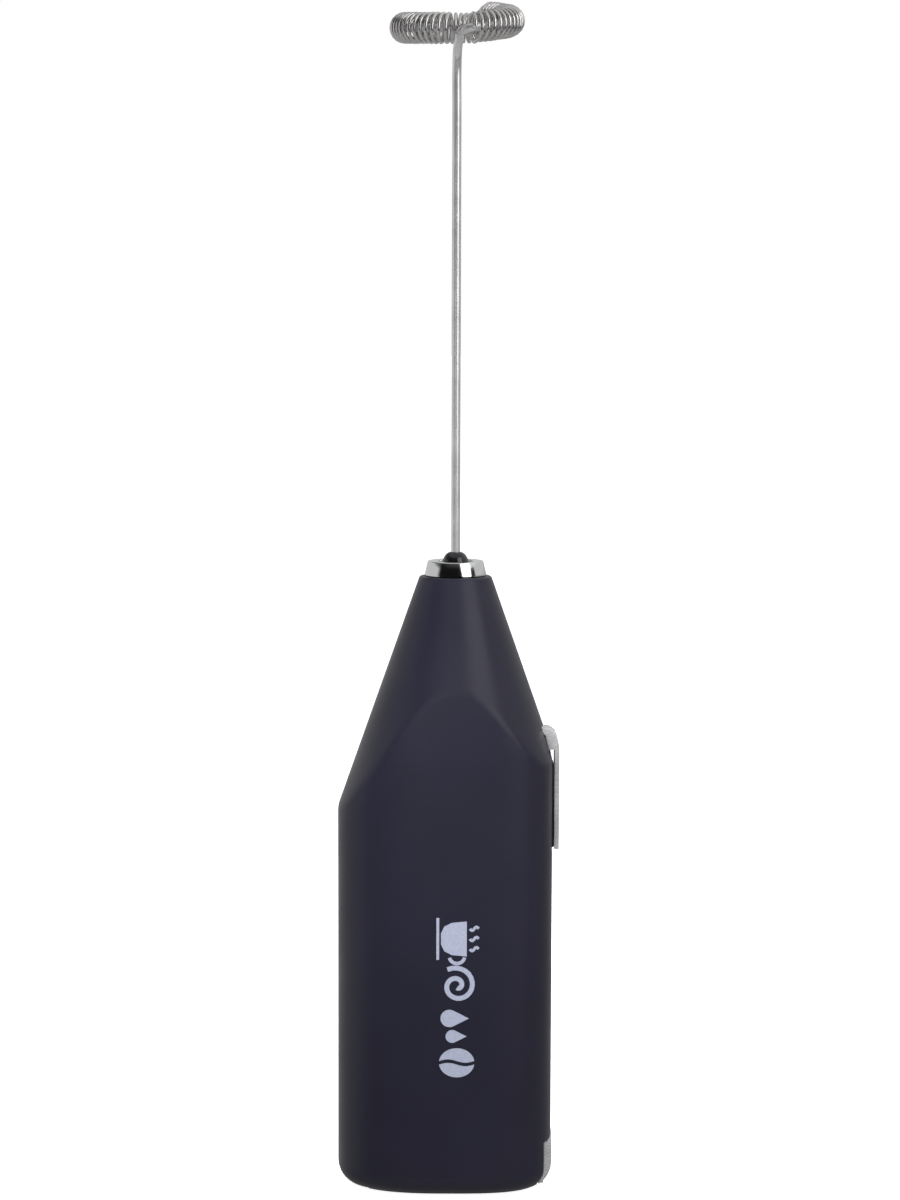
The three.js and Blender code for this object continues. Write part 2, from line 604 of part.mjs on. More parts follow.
function latchParts() {
  const { footLeft, halfY: reach, low, top } = LATCH;
  const blank = prism(ovalShape(-LATCH.proud), 0, CASE_HEIGHT, BASE_ROUND, BASE_ROUND_STEPS);
  const skin = cut(blank, prism(ovalShape(LATCH.inset), -1, CASE_HEIGHT + 1));
  const plate = skin.intersect(box(footLeft, FAR, -reach, reach, low, top));
  const foot = blank.intersect(box(footLeft, FAR, -reach, reach, 0, LATCH.foot));
  const { halfY, radius, right } = LATCH_TONGUE;
  const tongue = join(
    rodY(LATCH_AXIS.x, LATCH_AXIS.z, radius, -halfY, halfY),
    box(LATCH_AXIS.x, right, -halfY, halfY, LATCH_AXIS.z - radius, LATCH.foot),
  );
  const latch = cut(join(plate, foot, tongue), rodY(LATCH_AXIS.x, LATCH_AXIS.z, LATCH_PIN.bore, -FAR, FAR));
  const pin = rodY(LATCH_AXIS.x, LATCH_AXIS.z, LATCH_PIN.radius, -LATCH_PIN.half, LATCH_PIN.half);
  return [
    toMesh("door_latch", latch, FINISH.chrome),
    toMesh("latch_pin", pin, FINISH.steel),
  ];
}

// ---- Lever switch ----
// The lever strip's side outline: a straight leg that curls over the top towards the case.
function leverOutline() {
  const curl = new THREE.QuadraticBezierCurve(
    new THREE.Vector2(LEVER.centreX, LEVER.straight),
    new THREE.Vector2(LEVER.centreX, LEVER.crown - LEVER_CURL.rise),
    new THREE.Vector2(LEVER_CURL.end, LEVER.crown),
  );
  const centre = [new THREE.Vector2(LEVER.centreX, LEVER.low), ...curl.getPoints(8)];
  centre.push(new THREE.Vector2(LEVER_AXIS.x - LEVER_TAIL, LEVER.crown));
  const offset = (side) =>
    centre.map((point, i) => {
      const before = centre[Math.max(0, i - 1)];
      const after = centre[Math.min(centre.length - 1, i + 1)];
      const along = after.clone().sub(before).normalize();
      return [point.x - side * along.y * LEVER.half, point.y + side * along.x * LEVER.half];
    });
  return [...offset(1), ...offset(-1).reverse()];
}

function leverParts() {
  const { x, z } = LEVER_AXIS;
  const heel = sidePrism(LEVER_HEEL, LEVER.halfY);
  const web = box(x - LEVER_TAIL, x + LEVER_TAIL, -LEVER.halfY, LEVER.halfY, z, LEVER.crown);
  const eye = rodY(x, z, LEVER.eye, -LEVER.halfY, LEVER.halfY, 20);
  const lever = cut(
    join(sidePrism(leverOutline(), LEVER.halfY), heel, web, eye),
    rodY(x, z, LEVER_PIN.bore, -FAR, FAR),
  );
  const pad = join(
    box(PAD.inner, PAD.outer, -LEVER.halfY, LEVER.halfY, PAD.low, PAD.top),
    rodX(0, PAD.noseZ, PAD.nose, PAD.noseX, PAD.inner + 0.5),
  );
  return [
    toMesh("switch_lever", lever, FINISH.chrome),
    toMesh("lever_pad", pad, FINISH.blackMatte),
    toMesh("lever_pin", rodY(x, z, LEVER_PIN.radius, -LEVER_PIN.half, LEVER_PIN.half), FINISH.steel),
  ];
}

function strip({ x, half, halfY, low, top }) {
  return box(x - half, x + half, -halfY, halfY, low, top);
}

function switchParts() {
  const { left, right, halfY, low, top } = SWITCH_BASE;
  const slot = ({ x, half, halfY: reach }) =>
    box(x - half - FIT_GAP, x + half + FIT_GAP, -reach - FIT_GAP, reach + FIT_GAP, low + FIT_GAP, top + 1);
  const base = cut(box(left, right, -halfY, halfY, low, top), slot(CONTACT_STRIP), slot(LEAF_STRIP));
  const { z, radius, fixed, moving } = CONTACT_POINT;
  const fixedFace = CONTACT_STRIP.x + CONTACT_STRIP.half;
  const leafFace = LEAF_STRIP.x - LEAF_STRIP.half;
  const contact = join(strip(CONTACT_STRIP), rodX(0, z, radius, CONTACT_STRIP.x, fixedFace + fixed));
  const leaf = join(strip(LEAF_STRIP), rodX(0, z, radius, leafFace - moving, LEAF_STRIP.x));
  return [
    toMesh("switch_base", base, FINISH.nylon),
    toMesh("switch_contact", contact, FINISH.brass),
    toMesh("switch_leaf", leaf, FINISH.brass),
  ];
}

// ---- Leads ----
function lead(name, finish, points) {
  const path = new THREE.CatmullRomCurve3(points.map((p) => new THREE.Vector3(...p)), false, "centripetal");
  return toMesh(name, tube(path, LEAD.radius, LEAD.sides, LEAD.steps), finish);
}

function leads() {
  return [
    lead("negative_lead", FINISH.blackWire, NEGATIVE_ROUTE),
    lead("positive_lead", FINISH.redWire, POSITIVE_ROUTE),
    lead("motor_lead", FINISH.blueWire, MOTOR_ROUTE),
  ];
}

const frother = new THREE.Group();
frother.name = "milk_frother";
const subassemblies = [caseShells, neckParts, rotatingParts, motorParts, batteryParts, doorParts, latchParts];
for (const build of [...subassemblies, leverParts, switchParts, leads]) frother.add(...build());

export default frother;
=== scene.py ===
"""Looks of a hand-held battery milk frother, built over its CAD frame.

Every sub-assembly is a class whose sizes are in millimetres, in the CAD frame: +Z up along the whisk's spin
axis, +X towards the switch lever, -Y towards the broad front face. Finished pieces are in metres.
"""

import logging
import math
from collections.abc import Callable, Iterable, Sequence
from dataclasses import dataclass, field
from enum import Enum

import bmesh
import bpy
from mathutils import Matrix, Vector


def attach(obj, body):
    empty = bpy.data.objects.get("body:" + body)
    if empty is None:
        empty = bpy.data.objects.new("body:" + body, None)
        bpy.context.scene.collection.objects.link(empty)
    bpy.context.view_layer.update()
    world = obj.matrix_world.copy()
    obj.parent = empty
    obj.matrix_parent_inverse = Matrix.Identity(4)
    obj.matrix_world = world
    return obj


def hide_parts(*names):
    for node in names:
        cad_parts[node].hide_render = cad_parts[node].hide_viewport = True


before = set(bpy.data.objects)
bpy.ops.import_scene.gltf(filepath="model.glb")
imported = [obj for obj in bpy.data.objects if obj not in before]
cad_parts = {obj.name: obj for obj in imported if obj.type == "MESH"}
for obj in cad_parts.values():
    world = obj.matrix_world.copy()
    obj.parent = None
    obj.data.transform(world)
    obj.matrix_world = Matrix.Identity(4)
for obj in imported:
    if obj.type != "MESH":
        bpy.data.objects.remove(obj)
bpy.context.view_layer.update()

LOG = logging.getLogger("milk_frother")
METRES = 0.001  # one millimetre in metres
SHARP = math.radians(32)

Colour = tuple[float, float, float]
Point2 = tuple[float, float]
Point3 = tuple[float, float, float]
Socket = bpy.types.NodeSocket
Mesh = bmesh.types.BMesh

# X and Z of the three pivots, which all run along Y
HINGE_AXIS: Point2 = (-16.8, 1.4)
LATCH_AXIS: Point2 = (13.7, 0.95)
LEVER_AXIS: Point2 = (12.7, 79.7)
FAR = 30.0  # beyond the case on every side


class Body(Enum):
    """The rigid bodies that pieces ride on."""

    CASE = "case"
    WHISK = "whisk"
    LEVER = "lever"
    LEAF = "leaf"
    DOOR = "door"
    LATCH = "latch"


# ---------------------------------------------------------------- node recipes


class Recipe:
    """A material's node tree around one Principled shader, read in Object coordinates."""

    def __init__(self, name: str) -> None:
        """Starts an empty material.

        Args:
            name: The material's name.
        """
        self.material = bpy.data.materials.new(name)
        self.material.use_nodes = True
        self.tree = self.material.node_tree
        self.tree.nodes.clear()
        self.shader = self.tree.nodes.new("ShaderNodeBsdfPrincipled")
        output = self.tree.nodes.new("ShaderNodeOutputMaterial")
        self.tree.links.new(self.shader.outputs[0], output.inputs[0])
        self.place = self.tree.nodes.new("ShaderNodeTexCoord").outputs["Object"]

    def fixed(self, **values: float | Sequence[float]) -> None:
        """Sets constant sockets of the shader.

        Args:
            values: Socket names with underscores for blanks, and their values.
        """
        for name, value in values.items():
            self.shader.inputs[name.replace("_", " ").title().replace("Ior", "IOR")].default_value = value

    def drive(self, socket: str, source: Socket) -> None:
        """Links a source to one of the shader's sockets."""
        self.tree.links.new(source, self.shader.inputs[socket])

    def mapped(self, stretch: Point3) -> Socket:
        """Object coordinates stretched along each axis.

        Args:
            stretch: Factors along X, Y and Z.

        Returns:
            The mapped vector.
        """
        node = self.tree.nodes.new("ShaderNodeMapping")
        node.inputs["Scale"].default_value = stretch
        self.tree.links.new(self.place, node.inputs["Vector"])
        return node.outputs["Vector"]

    def noise(self, grain: float, detail: float = 3.0, stretch: Point3 = (1.0, 1.0, 1.0)) -> Socket:
        """A noise pattern.

        Args:
            grain: Size of its grains in millimetres.
            detail: Number of finer layers.
            stretch: Factors along X, Y and Z.

        Returns:
            The noise value, 0 to 1.
        """
        node = self.tree.nodes.new("ShaderNodeTexNoise")
        node.inputs["Scale"].default_value = 1.0 / (grain * METRES)
        node.inputs["Detail"].default_value = detail
        self.tree.links.new(self.mapped(stretch), node.inputs["Vector"])
        return node.outputs["Fac"]

    def height(self) -> Socket:
        """The Object coordinate along Z, in metres."""
        node = self.tree.nodes.new("ShaderNodeSeparateXYZ")
        self.tree.links.new(self.place, node.inputs[0])
        return node.outputs["Z"]

    def spread(self, source: Socket, low: float, high: float, start: float = 0.3, end: float = 0.7) -> Socket:
        """Maps a value to a range.

        Args:
            source: The value.
            low: Result at start.
            high: Result at end.
            start: Source value that gives low.
            end: Source value that gives high.

        Returns:
            The mapped value.
        """
        node = self.tree.nodes.new("ShaderNodeMapRange")
        for name, value in (("From Min", start), ("From Max", end), ("To Min", low), ("To Max", high)):
            node.inputs[name].default_value = value
        self.tree.links.new(source, node.inputs["Value"])
        return node.outputs["Result"]

    def calculate(self, operation: str, first: Socket, second: Socket | float) -> Socket:
        """Combines two values.

        Args:
            operation: The Math node's operation.
            first: The first value.
            second: The second value, or a number.

        Returns:
            The result.
        """
        node = self.tree.nodes.new("ShaderNodeMath")
        node.operation = operation
        self.tree.links.new(first, node.inputs[0])
        if isinstance(second, (int, float)):
            node.inputs[1].default_value = second
        else:
            self.tree.links.new(second, node.inputs[1])
        return node.outputs[0]

    def shades(self, source: Socket, stops: Sequence[tuple[float, Colour]], hard: bool = False) -> Socket:
        """Turns a value into colours.

        Args:
            source: The value, 0 to 1.
            stops: Positions and colours.
            hard: Whether colours change abruptly.

        Returns:
            The colour.
        """
        node = self.tree.nodes.new("ShaderNodeValToRGB")
        ramp = node.color_ramp
        ramp.interpolation = "CONSTANT" if hard else "LINEAR"
        while len(ramp.elements) < len(stops):
            ramp.elements.new(0.5)
        for element, (position, colour) in zip(ramp.elements, stops):
            element.position = position
            element.color = (*colour, 1.0)
        self.tree.links.new(source, node.inputs["Fac"])
        return node.outputs["Color"]

    def relief(self, source: Socket, depth: float, strength: float = 1.0) -> None:
        """Adds a bump on top of the bumps so far.

        Args:
            source: The height, 0 to 1.
            depth: Depth of the relief in millimetres.
            strength: How much of it shows.
        """
        node = self.tree.nodes.new("ShaderNodeBump")
        node.inputs["Distance"].default_value = depth * METRES
        node.inputs["Strength"].default_value = strength
        self.tree.links.new(source, node.inputs["Height"])
        normal = self.shader.inputs["Normal"]
        if normal.is_linked:
            self.tree.links.new(normal.links[0].from_socket, node.inputs["Normal"])
        self.tree.links.new(node.outputs["Normal"], normal)


def tinted(colour: Colour, factor: float) -> Colour:
    """A colour made lighter or darker by a factor."""
    return tuple(min(1.0, channel * factor) for channel in colour)


# ---------------------------------------------------------------- finishes


@dataclass(frozen=True)
class Finish:
    """A surface finish that is built once and shared by its pieces."""

    name: str

    def build(self) -> bpy.types.Material:
        """The finish's material, made on first use.

        Returns:
            The material.
        """
        ready = bpy.data.materials.get(self.name)
        return ready if ready else self.mix().material

    def mix(self) -> Recipe:
        """Makes the recipe; each finish has its own.

        Returns:
            The finished recipe.
        """
        raise NotImplementedError


@dataclass(frozen=True)
class SoftTouchPaint(Finish):
    """Rubbery charcoal paint with a fine grain, a soft sheen and faint handling marks."""

    colour: Colour = (0.0205, 0.0197, 0.035)
    roughness: float = 0.34
    specular: float = 0.3

    def mix(self) -> Recipe:
        """Makes the paint.

        Returns:
            The finished recipe.
        """
        recipe = Recipe(self.name)
        cloud = recipe.noise(24.0, 2.0)
        recipe.drive("Base Color", recipe.shades(cloud, [
            (0.3, tinted(self.colour, 0.93)), (0.7, tinted(self.colour, 1.08))]))
        smudge = recipe.spread(recipe.noise(9.0, 4.0), self.roughness - 0.02, self.roughness + 0.05)
        grain = recipe.noise(0.16, 2.0)
        fine = recipe.spread(grain, -0.02, 0.03)
        recipe.drive("Roughness", recipe.calculate("ADD", smudge, fine))
        recipe.relief(grain, 0.004, 0.35)
        recipe.relief(recipe.noise(2.6, 2.0), 0.012, 0.3)
        recipe.fixed(specular_ior_level=self.specular)
        return recipe


@dataclass(frozen=True)
class Chrome(Finish):
    """Polished chrome plate with hairline scratches and a few dull patches."""

    colour: Colour = (0.86, 0.865, 0.875)
    roughness: float = 0.07
    scratch: Point3 = (1.0, 1.0, 0.06)

    def mix(self) -> Recipe:
        """Makes the plate.

        Returns:
            The finished recipe.
        """
        recipe = Recipe(self.name)
        patch = recipe.noise(3.0, 3.0)
        recipe.drive("Base Color", recipe.shades(patch, [
            (0.3, tinted(self.colour, 0.96)), (0.7, tinted(self.colour, 1.03))]))
        hair = recipe.noise(0.09, 2.0, self.scratch)
        dull = recipe.spread(patch, 0.0, 0.05)
        recipe.drive("Roughness", recipe.calculate("ADD", dull, recipe.spread(
            hair, self.roughness - 0.02, self.roughness + 0.05)))
        recipe.relief(hair, 0.002, 0.15)
        recipe.fixed(metallic=1.0)
        return recipe


@dataclass(frozen=True)
class Metal(Finish):
    """Bare or plated metal with a drawn or brushed grain."""

    colour: Colour = (0.56, 0.57, 0.58)
    roughness: float = 0.26
    grain: float = 0.12
    stretch: Point3 = (1.0, 1.0, 0.05)
    anisotropy: float = 0.3
    shine: float = 1.0
    depth: float = 0.006

    def mix(self) -> Recipe:
        """Makes the metal.

        Returns:
            The finished recipe.
        """
        recipe = Recipe(self.name)
        cloud = recipe.noise(5.0, 3.0)
        recipe.drive("Base Color", recipe.shades(cloud, [
            (0.3, tinted(self.colour, 0.86)), (0.7, tinted(self.colour, 1.1))]))
        lines = recipe.noise(self.grain, 3.0, self.stretch)
        recipe.drive("Roughness", recipe.spread(lines, self.roughness - 0.04, self.roughness + 0.05))
        recipe.relief(lines, self.depth, 0.25)
        recipe.fixed(metallic=self.shine, anisotropic=self.anisotropy)
        return recipe


@dataclass(frozen=True)
class Moulding(Finish):
    """Injection-moulded plastic with an even spark-eroded texture."""

    colour: Colour = (0.012, 0.012, 0.014)
    roughness: float = 0.5
    grain: float = 0.22
    depth: float = 0.01

    def mix(self) -> Recipe:
        """Makes the plastic.

        Returns:
            The finished recipe.
        """
        recipe = Recipe(self.name)
        cloud = recipe.noise(7.0, 3.0)
        recipe.drive("Base Color", recipe.shades(cloud, [
            (0.3, tinted(self.colour, 0.88)), (0.7, tinted(self.colour, 1.12))]))
        pits = recipe.noise(self.grain, 2.0)
        recipe.drive("Roughness", recipe.spread(pits, self.roughness - 0.05, self.roughness + 0.08))
        recipe.relief(pits, self.depth, 0.4)
        return recipe


@dataclass(frozen=True)
class GlossPlastic(Finish):
    """Polished black plastic with a clear skin."""

    colour: Colour = (0.006, 0.006, 0.008)
    roughness: float = 0.13

    def mix(self) -> Recipe:
        """Makes the plastic.

        Returns:
            The finished recipe.
        """
        recipe = Recipe(self.name)
        cloud = recipe.noise(1.8, 3.0)
        recipe.drive("Base Color", recipe.shades(cloud, [
            (0.3, tinted(self.colour, 0.8)), (0.7, tinted(self.colour, 1.3))]))
        recipe.drive("Roughness", recipe.spread(cloud, self.roughness - 0.03, self.roughness + 0.06))
        recipe.relief(recipe.noise(0.5, 2.0), 0.003, 0.2)
        recipe.fixed(coat_weight=0.4, coat_roughness=0.06)
        return recipe


@dataclass(frozen=True)
class Rubber(Finish):
    """Dull black rubber with a mealy surface."""

    colour: Colour = (0.016, 0.016, 0.017)

    def mix(self) -> Recipe:
        """Makes the rubber.

        Returns:
            The finished recipe.
        """
        recipe = Recipe(self.name)
        meal = recipe.noise(0.3, 4.0)
        recipe.drive("Base Color", recipe.shades(meal, [
            (0.3, tinted(self.colour, 0.8)), (0.7, tinted(self.colour, 1.5))]))
        recipe.drive("Roughness", recipe.spread(meal, 0.68, 0.88))
        recipe.relief(meal, 0.015, 0.4)
        return recipe


@dataclass(frozen=True)
class Winding(Finish):
    """Enamelled copper wire laid in even turns round steel poles, with painted shade in the grooves between turns."""

    colour: Colour = (0.45, 0.15, 0.045)
    pitch: float = 0.35

    def mix(self) -> Recipe:
        """Makes the winding.

        Returns:
            The finished recipe.
        """
        recipe = Recipe(self.name)
        wave = recipe.tree.nodes.new("ShaderNodeTexWave")
        wave.bands_direction = "Z"
        wave.inputs["Scale"].default_value = 0.314 / (self.pitch * METRES)
        wave.inputs["Distortion"].default_value = 0.6
        recipe.tree.links.new(recipe.place, wave.inputs["Vector"])
        turns = wave.outputs["Fac"]
        # painted shade: the copper darkens to 0.3 of its colour in the grooves between turns
        recipe.drive("Base Color", recipe.shades(turns, [
            (0.1, tinted(self.colour, 0.3)), (0.6, self.colour)]))
        recipe.drive("Roughness", recipe.spread(turns, 0.5, 0.25))
        recipe.relief(turns, 0.1, 0.6)
        recipe.fixed(metallic=0.8)
        return recipe


@dataclass(frozen=True)
class CellWrap(Finish):
    """Printed film round a battery: a dark sleeve, a copper-coloured band and bare steel ends."""

    low: float = 0.0
    high: float = 50.0
    band: Colour = (0.42, 0.17, 0.05)
    sleeve: Colour = (0.011, 0.012, 0.014)
    steel: Colour = (0.55, 0.56, 0.57)
    flipped: bool = False

    def mix(self) -> Recipe:
        """Makes the wrap.

        Returns:
            The finished recipe.
        """
        recipe = Recipe(self.name)
        start, end = (self.high, self.low) if self.flipped else (self.low, self.high)
        along = recipe.spread(recipe.height(), 0.0, 1.0, start * METRES, end * METRES)
        regions = [(0.0, self.steel), (0.016, self.sleeve), (0.7, self.band), (0.955, self.steel)]
        recipe.drive("Base Color", recipe.shades(along, regions, hard=True))
        dark, bright = (0.0, 0.0, 0.0), (1.0, 1.0, 1.0)
        recipe.drive("Metallic", recipe.shades(along, [
            (0.0, bright), (0.016, dark), (0.7, (0.6, 0.6, 0.6)), (0.955, bright)], hard=True))
        scuff = recipe.noise(0.8, 4.0, (1.0, 1.0, 0.3))
        recipe.drive("Roughness", recipe.spread(scuff, 0.18, 0.4))
        recipe.relief(scuff, 0.004, 0.2)
        return recipe


@dataclass(frozen=True)
class PrintInk(Finish):
    """Thin pad-printed ink, slightly patchy."""

    colour: Colour = (0.46, 0.495, 0.635)

    def mix(self) -> Recipe:
        """Makes the ink.

        Returns:
            The finished recipe.
        """
        recipe = Recipe(self.name)
        patch = recipe.noise(0.35, 3.0)
        recipe.drive("Base Color", recipe.shades(patch, [
            (0.25, tinted(self.colour, 0.84)), (0.65, self.colour)]))
        recipe.drive("Roughness", recipe.spread(patch, 0.42, 0.6))
        recipe.relief(patch, 0.004, 0.3)
        recipe.fixed(specular_ior_level=0.4)
        return recipe


SOFT_TOUCH = SoftTouchPaint("soft_touch_paint")
CHROME = Chrome("polished_chrome")
WHISK_STEEL = Metal("whisk_steel", (0.74, 0.74, 0.745), roughness=0.2, grain=0.1,
                    stretch=(1.0, 1.0, 0.02), anisotropy=0.2, shine=0.66, depth=0.001)
COIL_STEEL = Metal("coil_steel", (0.76, 0.745, 0.74), roughness=0.14, grain=0.12,
                   stretch=(1.0, 1.0, 1.0), anisotropy=0.0, shine=0.92, depth=0.002)
LEVER_STEEL = Metal("lever_steel", (0.72, 0.71, 0.73), roughness=0.28, grain=0.14,
                    stretch=(1.0, 0.08, 1.0), anisotropy=0.2, shine=0.48, depth=0.0015)
NICKEL = Metal("nickel_plate")
CAN_STEEL = Metal("motor_can_steel", (0.5, 0.51, 0.53), roughness=0.3, grain=0.15, stretch=(0.2, 0.2, 1.0))
BRASS = Metal("brass", (0.68, 0.45, 0.16), 0.24)
BRONZE = Metal("spring_bronze", (0.62, 0.36, 0.17), 0.28)
HUB_BLACK = GlossPlastic("hub_black_plastic")
PAD_BLACK = Moulding("pad_black_plastic", (0.008, 0.008, 0.010), 0.42)
INNER_BLACK = Moulding("inner_black_plastic", (0.018, 0.018, 0.02), 0.5)
NYLON = Moulding("natural_nylon", (0.72, 0.68, 0.58), 0.42, 0.3, 0.006)
FERRITE = Moulding("ferrite", (0.045, 0.046, 0.05), 0.62, 0.35, 0.03)
SEAL_RUBBER = Rubber("seal_rubber")
WINDING = Winding("copper_winding")
INK = PrintInk("lavender_ink")
RED_SLEEVE = Moulding("red_insulation", (0.42, 0.025, 0.018), 0.35, 0.25, 0.003)
BLACK_SLEEVE = Moulding("black_insulation", (0.012, 0.012, 0.013), 0.35, 0.25, 0.003)
BLUE_SLEEVE = Moulding("blue_insulation", (0.02, 0.06, 0.3), 0.35, 0.25, 0.003)


# ---------------------------------------------------------------- mesh bench


class Bench:
    """Shapes closed meshes in millimetres with bmesh operators and hands them over as pieces."""

    @staticmethod
    def tidy(bm: Mesh) -> Mesh:
        """Merges doubles and points all faces outwards."""
        bmesh.ops.remove_doubles(bm, verts=bm.verts, dist=1e-5)
        bmesh.ops.dissolve_degenerate(bm, edges=bm.edges, dist=1e-6)
        bmesh.ops.recalc_face_normals(bm, faces=bm.faces)
        return bm

    @staticmethod
    def soften(bm: Mesh, width: float, segments: int = 3, angle: float = SHARP) -> Mesh:
        """Rounds every sharp edge.

        Args:
            bm: The mesh.
            width: Width of the rounding.
            segments: Facets across it.
            angle: Least angle between faces that counts as sharp.

        Returns:
            The same mesh.
        """
        edges = [e for e in bm.edges if len(e.link_faces) == 2 and e.calc_face_angle(0.0) > angle]
        bmesh.ops.bevel(bm, geom=edges, offset=width, offset_type="OFFSET", segments=segments, profile=0.5,
                        affect="EDGES", clamp_overlap=True, material=-1)
        return bm

    @classmethod
    def turned(cls, profile: Sequence[Point2], steps: int = 96, at: Point2 = (0.0, 0.0)) -> Mesh:
        """Spins a profile about a vertical axis.

        Args:
            profile: Radius and height pairs; the ends lie on the axis, or the loop is closed.
            steps: Facets round the axis.
            at: The axis's X and Y.

        Returns:
            The closed mesh.
        """
        bm = bmesh.new()
        chain = [bm.verts.new((radius, 0.0, z)) for radius, z in profile]
        edges = [bm.edges.new(pair) for pair in zip(chain, chain[1:])]
        if profile[0][0] > 0.0:
            edges.append(bm.edges.new((chain[-1], chain[0])))
        bmesh.ops.spin(bm, geom=chain + edges, cent=(0, 0, 0), axis=(0, 0, 1), angle=2 * math.pi, steps=steps,
                       use_merge=True)
        bmesh.ops.translate(bm, verts=bm.verts, vec=(*at, 0.0))
        return cls.tidy(bm)

    @classmethod
    def block(cls, low: Point3, high: Point3, round_by: float = 0.0, segments: int = 2) -> Mesh:
        """A box between two corners, with rounded edges.

        Args:
            low: The lowest corner.
            high: The highest corner.
            round_by: Width of the rounding.
            segments: Facets across the rounding.

        Returns:
            The closed mesh.
        """
        bm = bmesh.new()
        size = Vector(high) - Vector(low)
        bmesh.ops.create_cube(bm, size=1.0)
        bmesh.ops.scale(bm, verts=bm.verts, vec=size)
        bmesh.ops.translate(bm, verts=bm.verts, vec=(Vector(low) + Vector(high)) / 2)
        return cls.soften(bm, round_by, segments) if round_by else bm

    @classmethod
    def rod(cls, start: Point3, end: Point3, radius: float, sides: int = 40, round_by: float = 0.0) -> Mesh:
        """A round rod between two points.

        Args:
            start: Centre of one end.
            end: Centre of the other end.
            radius: Its radius.
            sides: Facets round it.
            round_by: Width of the rounding at its ends.

        Returns:
            The closed mesh.
        """
        bm = bmesh.new()
        axis = Vector(end) - Vector(start)
        bmesh.ops.create_cone(bm, cap_ends=True, segments=sides, radius1=radius, radius2=radius, depth=axis.length)
        turn = axis.to_track_quat("Z", "Y").to_matrix().to_4x4()
        bmesh.ops.transform(bm, matrix=Matrix.Translation((Vector(start) + Vector(end)) / 2) @ turn, verts=bm.verts)
        return cls.soften(bm, round_by) if round_by else bm

    @classmethod
    def slab(cls, outline: Sequence[Point3], rise: Point3) -> Mesh:
        """Extrudes a flat outline.

        Args:
            outline: The corners of one face.
            rise: Direction and length of the extrusion.

        Returns:
            The closed mesh.
        """
        bm = bmesh.new()
        face = bm.faces.new([bm.verts.new(corner) for corner in outline])
        grown = bmesh.ops.extrude_face_region(bm, geom=[face], use_keep_orig=True)["geom"]
        bmesh.ops.translate(bm, verts=[v for v in grown if isinstance(v, bmesh.types.BMVert)], vec=rise)
        return cls.tidy(bm)

    @classmethod
    def loft(cls, rings: Sequence[Sequence[Point3]]) -> Mesh:
        """Extrudes a flat outline from ring to ring.

        Args:
            rings: Outlines with the same number of corners, from the lowest to the highest.

        Returns:
            The closed mesh.
        """
        bm = bmesh.new()
        verts = [bm.verts.new(corner) for corner in rings[0]]
        loop = list(bm.faces.new(verts).edges)
        for ring in rings[1:]:
            loop, verts = cls.raise_loop(bm, loop, verts, ring)
        bmesh.ops.edgeloop_fill(bm, edges=loop)
        return cls.tidy(bm)

    @staticmethod
    def raise_loop(bm: Mesh, loop: list[bmesh.types.BMEdge], verts: list[bmesh.types.BMVert],
                   places: Sequence[Point3]) -> tuple[list[bmesh.types.BMEdge], list[bmesh.types.BMVert]]:
        """Extrudes an edge loop to new places.

        Args:
            bm: The mesh.
            loop: The loop's edges.
            verts: The loop's corners, in order.
            places: Where each corner's copy goes.

        Returns:
            The new loop's edges and corners.
        """
        grown = bmesh.ops.extrude_edge_only(bm, edges=loop)["geom"]
        fresh = {v for v in grown if isinstance(v, bmesh.types.BMVert)}
        copies = [next(e.other_vert(v) for e in v.link_edges if e.other_vert(v) in fresh) for v in verts]
        for copy, place in zip(copies, places):
            copy.co = place
        edges = [e for e in grown if isinstance(e, bmesh.types.BMEdge) and all(v in fresh for v in e.verts)]
        return edges, copies

    @classmethod
    def plate(cls, outline: Sequence[Point2], low: float, high: float) -> Mesh:
        """A flat plate of an XY outline between two heights."""
        return cls.slab([(x, y, low) for x, y in outline], (0.0, 0.0, high - low))

    @classmethod
    def profile(cls, outline: Sequence[Point2], half: float) -> Mesh:
        """An XZ outline that runs along Y, to the same distance either side of the seam."""
        return cls.slab([(x, -half, z) for x, z in outline], (0.0, 2 * half, 0.0))

    @classmethod
    def wire(cls, path: Sequence[Point3], radius: float, smooth: bool = True, round_steps: int = 3) -> Mesh:
        """A round wire along a path, with closed ends.

        Args:
            path: The points that it follows.
            radius: Its radius.
            smooth: Whether the path is splined between its points.
            round_steps: How finely its section is drawn.

        Returns:
            The closed mesh.
        """
        curve = bpy.data.curves.new("path", "CURVE")
        curve.dimensions = "3D"
        curve.bevel_depth = radius
        curve.bevel_resolution = round_steps
        curve.use_fill_caps = True
        spline = curve.splines.new("BEZIER" if smooth else "POLY")
        points = spline.bezier_points if smooth else spline.points
        points.add(len(path) - 1)
        for point, place in zip(points, path):
            if smooth:
                point.co = place
                point.handle_left_type = point.handle_right_type = "AUTO"
            else:
                point.co = (*place, 1.0)
        spline.resolution_u = 8
        holder = bpy.data.objects.new("path", curve)
        mesh = bpy.data.meshes.new_from_object(holder)
        bm = bmesh.new()
        bm.from_mesh(mesh)
        bpy.data.objects.remove(holder)
        bpy.data.curves.remove(curve)
        bpy.data.meshes.remove(mesh)
        return cls.tidy(bm)

    @staticmethod
    def swung(bm: Mesh, degrees: float) -> Mesh:
        """Turns a mesh about the whisk's axis.

        Args:
            bm: Mesh to turn in place.
            degrees: Angle, counter-clockwise from above.

        Returns:
            The same mesh.
        """
        turn = Matrix.Rotation(math.radians(degrees), 3, "Z")
        bmesh.ops.rotate(bm, verts=bm.verts, cent=(0, 0, 0), matrix=turn)
        return bm

    @staticmethod
    def gather(*parts: Mesh) -> Mesh:
        """Puts separate meshes into one, without joining them.

        Args:
            parts: The meshes; they are used up.

        Returns:
            The mesh that holds them all.
        """
        whole = bmesh.new()
        for part in parts:
            mesh = bpy.data.meshes.new("part")
            part.to_mesh(mesh)
            part.free()
            whole.from_mesh(mesh)
            bpy.data.meshes.remove(mesh)
        return whole

